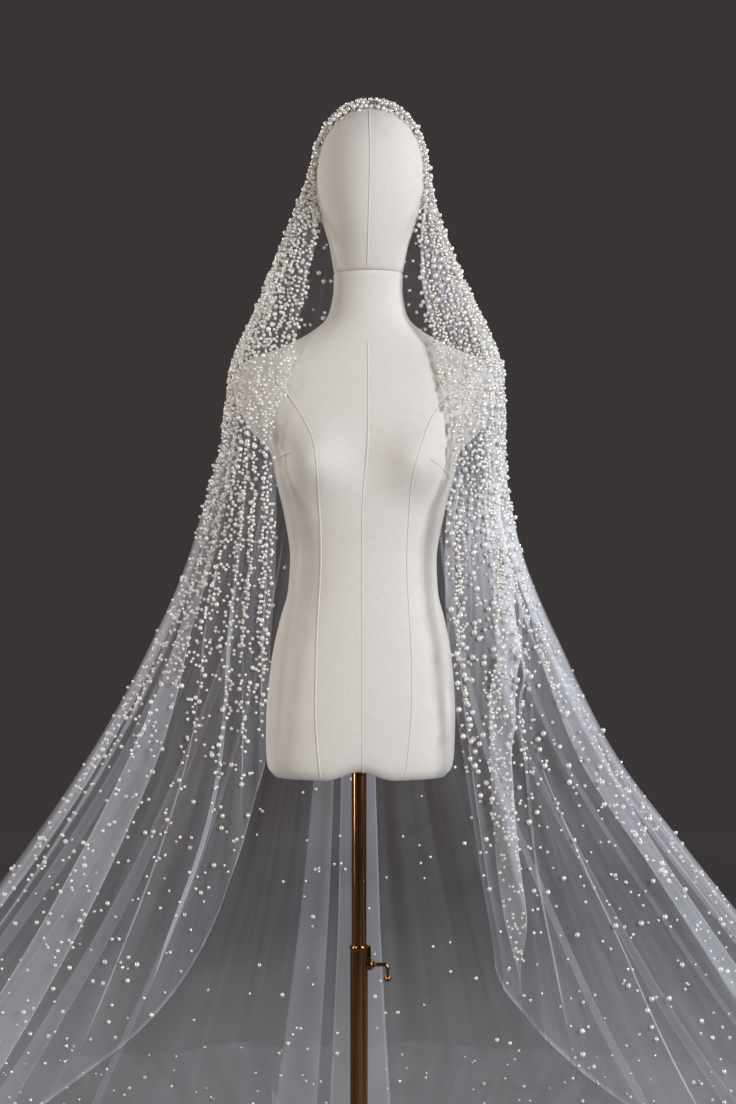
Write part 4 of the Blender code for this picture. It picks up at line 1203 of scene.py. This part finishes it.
def makeVeil():
    cloth = clothColumns()
    ends = np.array([hemEnd(place) for place in cloth])
    steps = np.linspace(0, 1, veil["gridRows"] + 1)[:, None] ** veil["rowCrowding"]
    at, lift, gathered, pressed, clump = pleatedPlaces(cloth, steps * ends[None, :], ends)
    reach = np.array([hemEnd(place) for place in at[-1]]) * 0.5 + ends * 0.5
    down = steps * reach[None, :]
    skins = [surfaceTree(torsoPiece), surfaceTree(headPiece)]
    points = keepClear(veilSurface(at, down, lift, pressed), skins)
    piece = gridObject("veil_tulle", points, tulle)
    piece.data.shade_smooth()
    giveClothUv(piece, points)
    least, most = closeness["limits"]
    gathered = np.clip(gathered, least, most)
    edge = np.zeros_like(gathered)
    shade = closeness["hemShade"] * (1 - closeness["hemLess"] * fade(points[:, 0, 2], *closeness["hemHigh"]))
    edge[:, 0] = edge[:, -1] = shade
    edge[-1] = np.where(down[-1] < 1.0, closeness["hemShade"], closeness["trainHem"])
    edge += closeness["train"] * fade(down, *closeness["trainFrom"])
    giveNumbers(piece, "gathered", perPoint(np.clip(gathered + edge, least, most)))
    giveNumbers(piece, "acrossCloth", perPoint(np.broadcast_to(cloth[None, :], down.shape)))
    giveNumbers(piece, "downCloth", perPoint(down))
    return piece, {"cloth": np.broadcast_to(cloth[None, :], at.shape), "at": at, "z": points[..., 2],
                   "points": points, "clump": clump}


veilPiece, drape = makeVeil()
print("veil made")

# pearls: how many a square metre, by height, along the front edge, in front, at the side and behind;
# and how many more there are, and how many of them are large, in front on the right
pearls = {
    "columns": ("z", "edge", "front", "side", "back"),
    "rows": (
        (1.7476, 14000, 14000, 11000, 7000), (1.65, 30000, 28000, 23000, 5000),
        (1.5, 29000, 27500, 24000, 2800), (1.4, 28000, 26000, 22000, 2100),
        (1.3, 26000, 20500, 13000, 1500), (1.2, 19500, 11000, 4700, 1000),
        (1.07, 10000, 5000, 1650, 600), (0.9, 3900, 2400, 950, 360),
        (0.77, 2000, 1650, 850, 250), (0.6, 1150, 1100, 680, 200),
        (0.45, 850, 850, 560, 170), (0.2, 620, 620, 430, 150),
        (0.0, 540, 520, 340, 130),
    ),
    "places": ((0.1, 0.3), (0.5, 0.9), (1.15, 1.6)),
    "largeShare": ((1.75, 0.08), (1.45, 0.08), (1.3, 0.05), (1.07, 0.06), (0.9, 0.13), (0.6, 0.22),
                   (0.0, 0.24)),
    "right": ((1.6, 1.0), (1.45, 1.35), (1.25, 2.5), (1.1, 3.0), (0.95, 2.3), (0.8, 1.5), (0.6, 1.0)),
    "rightLarge": ((1.3, 1.3), (1.05, 4.2), (0.85, 3.2), (0.6, 1.2)),
    "rightFrom": (3.84, 3.88),
    "rightHigh": (1.0, 1.2),
    "flap": {"cloth": 3.86, "half": 0.032, "soft": 0.014, "more": 1.6, "larger": 0.15, "from": (0.36, 0.5),
             "to": (1.05, 1.25)},
    "largeRadius": {"left": 0.0037, "back": 0.0038, "right": 0.0042},
    "smallRadius": 0.0024,
    "largeGap": 0.0095,
    "smallGap": 0.0045,
    "tries": {"Large": 9000.0, "Small": 90000.0},
    "sizes": {"Large": (0.88, 1.08), "Small": (0.84, 1.18)},
    "largeMost": 5600.0,
    "smallMost": 28500.0,
    "alongFolds": 3.0,
    "betweenFolds": 0.55,
    "foldsLow": (0.55, 0.95),
    "foldsHigh": (1.25, 1.45),
    "upperFrom": 1.22,
    "seed": 7,
}


def makePearlTree():
    tree, given, result = newTree("sewnPearls", [
        ("Large Radius", "Float", 0.0047), ("Small Radius", "Float", 0.0027), ("Large Gap", "Float", 0.0105),
        ("Small Gap", "Float", 0.0062), ("Lift", "Float", 0.0), ("Seed", "Int", 1),
    ])

    def scattered(kind, shift):
        share = addNode(tree, "GeometryNodeInputNamedAttribute", {"Name": kind.lower() + "Share"},
                        data_type="FLOAT")
        return addNode(tree, "GeometryNodeDistributePointsOnFaces", {
            "Mesh": given["Geometry"],
            "Distance Min": given[kind + " Gap"],
            "Density Max": pearls["tries"][kind],
            "Density Factor": share["Attribute"],
            "Seed": plus(tree, given["Seed"], float(shift)),
        }, distribute_method="POISSON")

    def beads(kind, points, normal, seed, ball):
        # the beads sit on the net by their own radius and never below the floor
        low, high = pearls["sizes"][kind]
        size = addNode(tree, "FunctionNodeRandomValue", {2: low, 3: high, "Seed": seed}, data_type="FLOAT")[1]
        radius = times(tree, size, given[kind + " Radius"])
        way = addNode(tree, "ShaderNodeVectorMath", {0: normal, "Scale": plus(tree, radius, given["Lift"])},
                      operation="SCALE")[0]
        moved = addNode(tree, "GeometryNodeSetPosition", {"Geometry": points, "Offset": way})[0]
        place = addNode(tree, "ShaderNodeSeparateXYZ", {0: addNode(tree, "GeometryNodeInputPosition")[0]})
        height = mathNode(tree, "MAXIMUM", place["Z"], radius)
        above = addNode(tree, "ShaderNodeCombineXYZ", {0: place["X"], 1: place["Y"], 2: height})[0]
        lying = addNode(tree, "GeometryNodeSetPosition", {"Geometry": moved, "Position": above})[0]
        return addNode(tree, "GeometryNodeInstanceOnPoints",
                       {"Points": lying, "Instance": ball["Mesh"], "Scale": radius})[0]

    large, small = scattered("Large", 0), scattered("Small", 1)
    near = addNode(tree, "GeometryNodeProximity", {"Geometry": large["Points"]}, target_element="POINTS")
    touching = addNode(tree, "FunctionNodeCompare", {
        0: near["Distance"], 1: plus(tree, given["Large Radius"], given["Small Radius"]),
    }, data_type="FLOAT", operation="LESS_THAN")[0]
    covered = addNode(tree, "FunctionNodeBooleanMath", {0: touching, 1: near["Is Valid"]}, operation="AND")[0]
    kept = addNode(tree, "GeometryNodeDeleteGeometry", {"Geometry": small["Points"], "Selection": covered},
                   domain="POINT")[0]
    roundBead = addNode(tree, "GeometryNodeMeshIcoSphere", {"Radius": 1.0, "Subdivisions": 2})
    plainBead = addNode(tree, "GeometryNodeMeshUVSphere", {"Segments": 7, "Rings": 5, "Radius": 1.0})
    both = tree.nodes.new("GeometryNodeJoinGeometry")
    feed(tree, both.inputs[0], beads("Large", large["Points"], large["Normal"], 3, roundBead))
    feed(tree, both.inputs[0], beads("Small", kept, small["Normal"], 4, plainBead))
    return closeTree(tree, given, result, both.outputs[0])


def pearlShares():
    # how thickly the large and the small pearls are sewn at each point of the veil
    at, z, cloth = drape["at"], drape["z"], drape["cloth"]
    q = fromEdge(at)
    total, *others = (smoothCurve(z, column(pearls, "z"), np.log(column(pearls, name)))
                      for name in pearls["columns"][1:])
    for further, limits in zip(others, pearls["places"]):
        total = total + (further - total) * fade(q, *limits)
    along = fade(z, *pearls["foldsLow"]) * (1 - fade(z, *pearls["foldsHigh"]))
    along = along * (1 - fade(q, *pearls["places"][1]))
    density = np.exp(total) * (1 + along * (pearls["alongFolds"] * drape["clump"] - pearls["betweenFolds"]))
    flap = pearls["flap"]
    pleat = next(row for row in pleats["rows"] if row[0] == flap["cloth"])
    middle = smoothCurve(z, pleats["heights"], pleat[:5])
    onFlap = (1 - fade(np.abs(at - middle), flap["half"], flap["half"] + flap["soft"])) * (cloth > 3.5)
    onFlap = onFlap * fade(z, *flap["from"]) * (1 - fade(z, *flap["to"]))
    onRight = fade(cloth, *pearls["rightFrom"])
    onRight = onRight + (1 - onRight) * (cloth > 3.2) * fade(z, *pearls["rightHigh"])
    more, larger, share = (smoothCurve(z, *np.array(pearls[name]).T)
                           for name in ("right", "rightLarge", "largeShare"))
    density = density * (1 + onRight * (more - 1)) * (1 + onFlap * flap["more"])
    large = share * (1 + onRight * (larger - 1)) * (1 - (1 - flap["larger"]) * onFlap)
    return {"largeShare": density * large / pearls["largeMost"],
            "smallShare": density * (1 - large) / pearls["smallMost"]}


def hostOf(name, wanted, shares):
    # the part of the veil that carries one piece's pearls, as a mesh of its own
    host = gridObject(name, drape["points"], pearl)
    for label, share in shares.items():
        giveNumbers(host, label, perPoint(np.clip(share * wanted, 0, 1)))
    near = np.pad(wanted, 1)
    near = near[1:-1, 1:-1] + near[:-2, 1:-1] + near[2:, 1:-1] + near[1:-1, :-2] + near[1:-1, 2:]
    near[0] = near[0].max()
    kept = perPoint(near)
    shape = bmesh.new()
    shape.from_mesh(host.data)
    bmesh.ops.delete(shape, geom=[v for v in shape.verts if kept[v.index] < 0.5], context="VERTS")
    shape.to_mesh(host.data)
    shape.free()
    return host


def makePearls():
    values = {"Small Radius": pearls["smallRadius"], "Large Gap": pearls["largeGap"],
              "Small Gap": pearls["smallGap"], "Lift": 0.0, "Material": pearl}
    cloth, upper = drape["cloth"], drape["z"] > pearls["upperFrom"]
    shares = pearlShares()
    left, right = cloth < 1.0, cloth >= 3.0
    regions = {"left_upper": left & upper, "left_lower": left & ~upper, "back": ~left & ~right,
               "right_upper": right & upper, "right_lower": right & ~upper}
    made = []
    for shift, (region, wanted) in enumerate(regions.items()):
        host = hostOf("pearls_" + region + "_host", wanted.astype(float), shares)
        values["Large Radius"] = pearls["largeRadius"][region.split("_")[0]]
        values["Seed"] = pearls["seed"] + 10 * shift
        made.append(runTree(host, pearlTree, values, "pearls_" + region))
    return made


pearlTree = makePearlTree()
pearlPieces = makePearls()

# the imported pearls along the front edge, from one temple over the crown to the other, and the single
# ones along the raw edge below: how far in from the edge, half across, half deep, how far back, how full
edging = {
    "columns": ("z", "inLeft", "inRight", "acrossLeft", "acrossRight", "deep", "back", "full"),
    "rows": (
        (1.7476, 0.0, 0.0, 0.0086, 0.0086, 0.015, -0.014, 1.0),
        (1.742, 0.0008, 0.0008, 0.0082, 0.008, 0.014, -0.012, 1.0),
        (1.73, 0.0024, 0.0024, 0.0066, 0.006, 0.0105, -0.006, 1.0),
        (1.712, 0.0028, 0.003, 0.0042, 0.0036, 0.007, 0.002, 1.0),
        (1.685, 0.0024, 0.0034, 0.0036, 0.0022, 0.006, 0.005, 1.0),
        (1.65, 0.0028, 0.0042, 0.0042, 0.002, 0.0058, 0.0055, 1.0),
        (1.61, 0.003, 0.0032, 0.0038, 0.0018, 0.005, 0.005, 1.0),
        (1.57, 0.0022, 0.0018, 0.0024, 0.0016, 0.004, 0.004, 0.85),
        (1.53, 0.001, 0.0008, 0.0014, 0.0012, 0.0022, 0.0022, 0.55),
        (1.49, 0.0008, 0.0008, 0.0012, 0.0012, 0.0012, 0.0012, 0.45),
        (1.36, 0.0008, 0.0008, 0.0012, 0.0012, 0.0012, 0.0012, 0.42),
        (1.28, 0.0008, 0.0008, 0.0012, 0.0012, 0.0012, 0.0012, 0.15),
    ),
    "onHead": (1.7, 1.728),
    "above": 0.0012,
    "stations": 420,
    "corners": 12,
    "gap": 0.005,
    "radius": 0.0031,
    "largeRadius": 0.004,
    "largeShare": 0.22,
    "sink": 0.0011,
    "clear": 0.0005,
}


def edgePath():
    # the net's front edge from the left chest over the crown to the right chest, and the way in from it
    lowest = edging["rows"][-1][0]
    left, right = ([p for p in drape["points"][:, side] if p[2] > lowest] for side in (0, -1))
    path = np.array(left[::-1] + right[1:])
    run = runAlong(np.linalg.norm(np.diff(path, axis=0), axis=1))
    even = np.linspace(0, run[-1], edging["stations"])
    path = spots(*(np.interp(even, run, side) for side in path.T))
    along = unit(np.gradient(path, axis=0))
    return path, along, unit(np.cross(np.array((0.0, 1.0, 0.0)), along))


def makeEdging():
    path, along, inward = edgePath()
    skin = surfaceTree(headPiece)
    left = path[:, 0] < axisX(path[:, 2])
    level = {name: valueAt(edging, name, path[:, 2]) for name in edging["columns"]}
    further, across = (np.where(left, level[name + "Left"], level[name + "Right"])[:, None]
                       for name in ("in", "across"))
    backward = np.cross(along, inward)
    backward *= np.sign(backward[:, 1:2])
    middle = path + inward * further + backward * level["back"][:, None]
    for i, share in enumerate(fade(path[:, 2], *edging["onHead"])):
        middle[i] += (np.array(sunk(skin, middle[i], -edging["above"])) - middle[i]) * share
    deep, turns = backward * level["deep"][:, None], turnsRound(edging["corners"])
    rings = np.stack([middle + inward * across * math.cos(t) + deep * math.sin(t) for t in turns], axis=1)
    host = loft("pearls_edging_host", rings, pearl, middle[0], middle[-1])
    wanted = np.zeros(len(host.data.vertices), dtype=np.float32)
    for vertex in host.data.vertices:
        spot, normal = skin.find_nearest(vertex.co)[:2]
        nearest = int(np.argmin(np.linalg.norm(middle - np.array(vertex.co), axis=1)))
        wanted[vertex.index] = level["full"][nearest] * ((vertex.co - spot).dot(normal) > edging["clear"])
    giveNumbers(host, "largeShare", wanted * np.float32(edging["largeShare"]))
    giveNumbers(host, "smallShare", wanted)
    return runTree(host, pearlTree, {
        "Large Radius": edging["largeRadius"], "Small Radius": edging["radius"],
        "Large Gap": pearls["largeGap"], "Small Gap": edging["gap"], "Lift": -edging["sink"],
        "Seed": pearls["seed"] + 41, "Material": pearl,
    }, "pearls_edging")


edgingPiece = makeEdging()
for piece in (*pearlPieces, edgingPiece):
    print(piece.name, sum(len(face.vertices) - 2 for face in piece.data.polygons), "triangles")

finishPiece(veilPiece, ["veil"])
finishPiece(edgingPiece, ["pearl_edging"])
for piece in pearlPieces:
    finishPiece(piece)

# pale floor, plain wall tone and soft studio light
studio = {
    "lens": 69.6,
    "camera": (0.0135, -3.2, 1.08),
    "floorRadius": 16.0,
    "floorSides": 96,
    "floorFade": (3.4, 5.2),
    "floorGlow": (3.0, 4.8),
    "floor": (0.19, 0.19, 0.195),
    "wall": (0.042, 0.0358, 0.0365),
    "wallStrength": 1.0,
    "lamps": {
        "key": {"place": (2.9, -2.7, 2.1), "aim": (0.0, 0.0, 1.1), "size": 2.0, "power": 64.0,
                "colour": (0.93, 0.96, 1.0), "spread": 110},
        "fill": {"place": (-2.4, -3.4, 1.8), "aim": (0.0, 0.0, 1.0), "size": 1.6, "power": 15.5,
                 "colour": (1.0, 0.92, 0.88), "spread": 110},
        "strip": {"place": (-2.5, -0.72, 0.90), "aim": (0.0, 0.0, 0.90), "size": 0.75, "power": 6.0,
                  "colour": (1.0, 0.95, 0.90), "spread": 110},
        "left_rim": {"place": (-2.6, 1.6, 2.6), "aim": (-0.2, 0.1, 0.9), "size": 1.0, "power": 20.0,
                     "colour": (1.0, 0.96, 0.94), "spread": 130},
        "right_rim": {"place": (2.6, 1.6, 2.6), "aim": (0.2, 0.1, 0.9), "size": 1.0, "power": 26.0,
                      "colour": (0.93, 0.95, 1.0), "spread": 130},
    },
}


def makeFloor():
    # a pale floor that fades into the wall's tone further out
    made, tree = newMaterial("paleFloor")
    grain = noiseNode(tree, objectVector(tree), 3.0, 3.0)
    away = addNode(tree, "ShaderNodeVectorMath", {0: objectVector(tree)}, operation="LENGTH")["Value"]
    near = mixColour(tree, grain, tuple(0.96 * c for c in studio["floor"]), studio["floor"])
    setShader(made, {
        "Base Color": mixColour(tree, mapRange(tree, away, *studio["floorFade"]), near, (0.0, 0.0, 0.0)),
        "Emission Color": (*studio["wall"], 1.0),
        "Emission Strength": mapRange(tree, away, *studio["floorGlow"]),
        "Specular IOR Level": 0.0,
        "Roughness": 0.7,
    })
    points = [(studio["floorRadius"] * math.cos(a), studio["floorRadius"] * math.sin(a), 0.0)
              for a in turnsRound(studio["floorSides"])]
    addMesh("studio_floor", points, [tuple(range(len(points)))], made)


def makeLights():
    world = bpy.data.worlds.new("studio")
    world.use_nodes = True
    background = world.node_tree.nodes["Background"]
    background.inputs["Color"].default_value = (*studio["wall"], 1.0)
    background.inputs["Strength"].default_value = studio["wallStrength"]
    bpy.context.scene.world = world
    for name, setting in studio["lamps"].items():
        lamp = bpy.data.lights.new(name, "AREA")
        lamp.shape = "RECTANGLE"
        lamp.size, lamp.size_y = setting["size"] * 0.7, setting["size"] * 1.4
        lamp.energy = setting["power"]
        lamp.color = setting["colour"]
        lamp.spread = math.radians(setting["spread"])
        light = addObject(name, lamp)
        light.location = setting["place"]
        light.rotation_euler = (Vector(setting["aim"]) - light.location).to_track_quat("-Z", "Y").to_euler()


def makeCamera():
    lens = bpy.data.cameras.new("camera")
    lens.lens, lens.sensor_width, lens.sensor_fit = studio["lens"], 36.0, "AUTO"
    camera = addObject("camera", lens)
    camera.location = studio["camera"]
    camera.rotation_euler = (math.radians(90), 0, 0)
    bpy.context.scene.camera = camera


makeFloor()
makeLights()
makeCamera()
bpy.context.scene.cycles.transparent_max_bounces = 48
bpy.context.scene.view_settings.view_transform = "Standard"
print("scene ready")
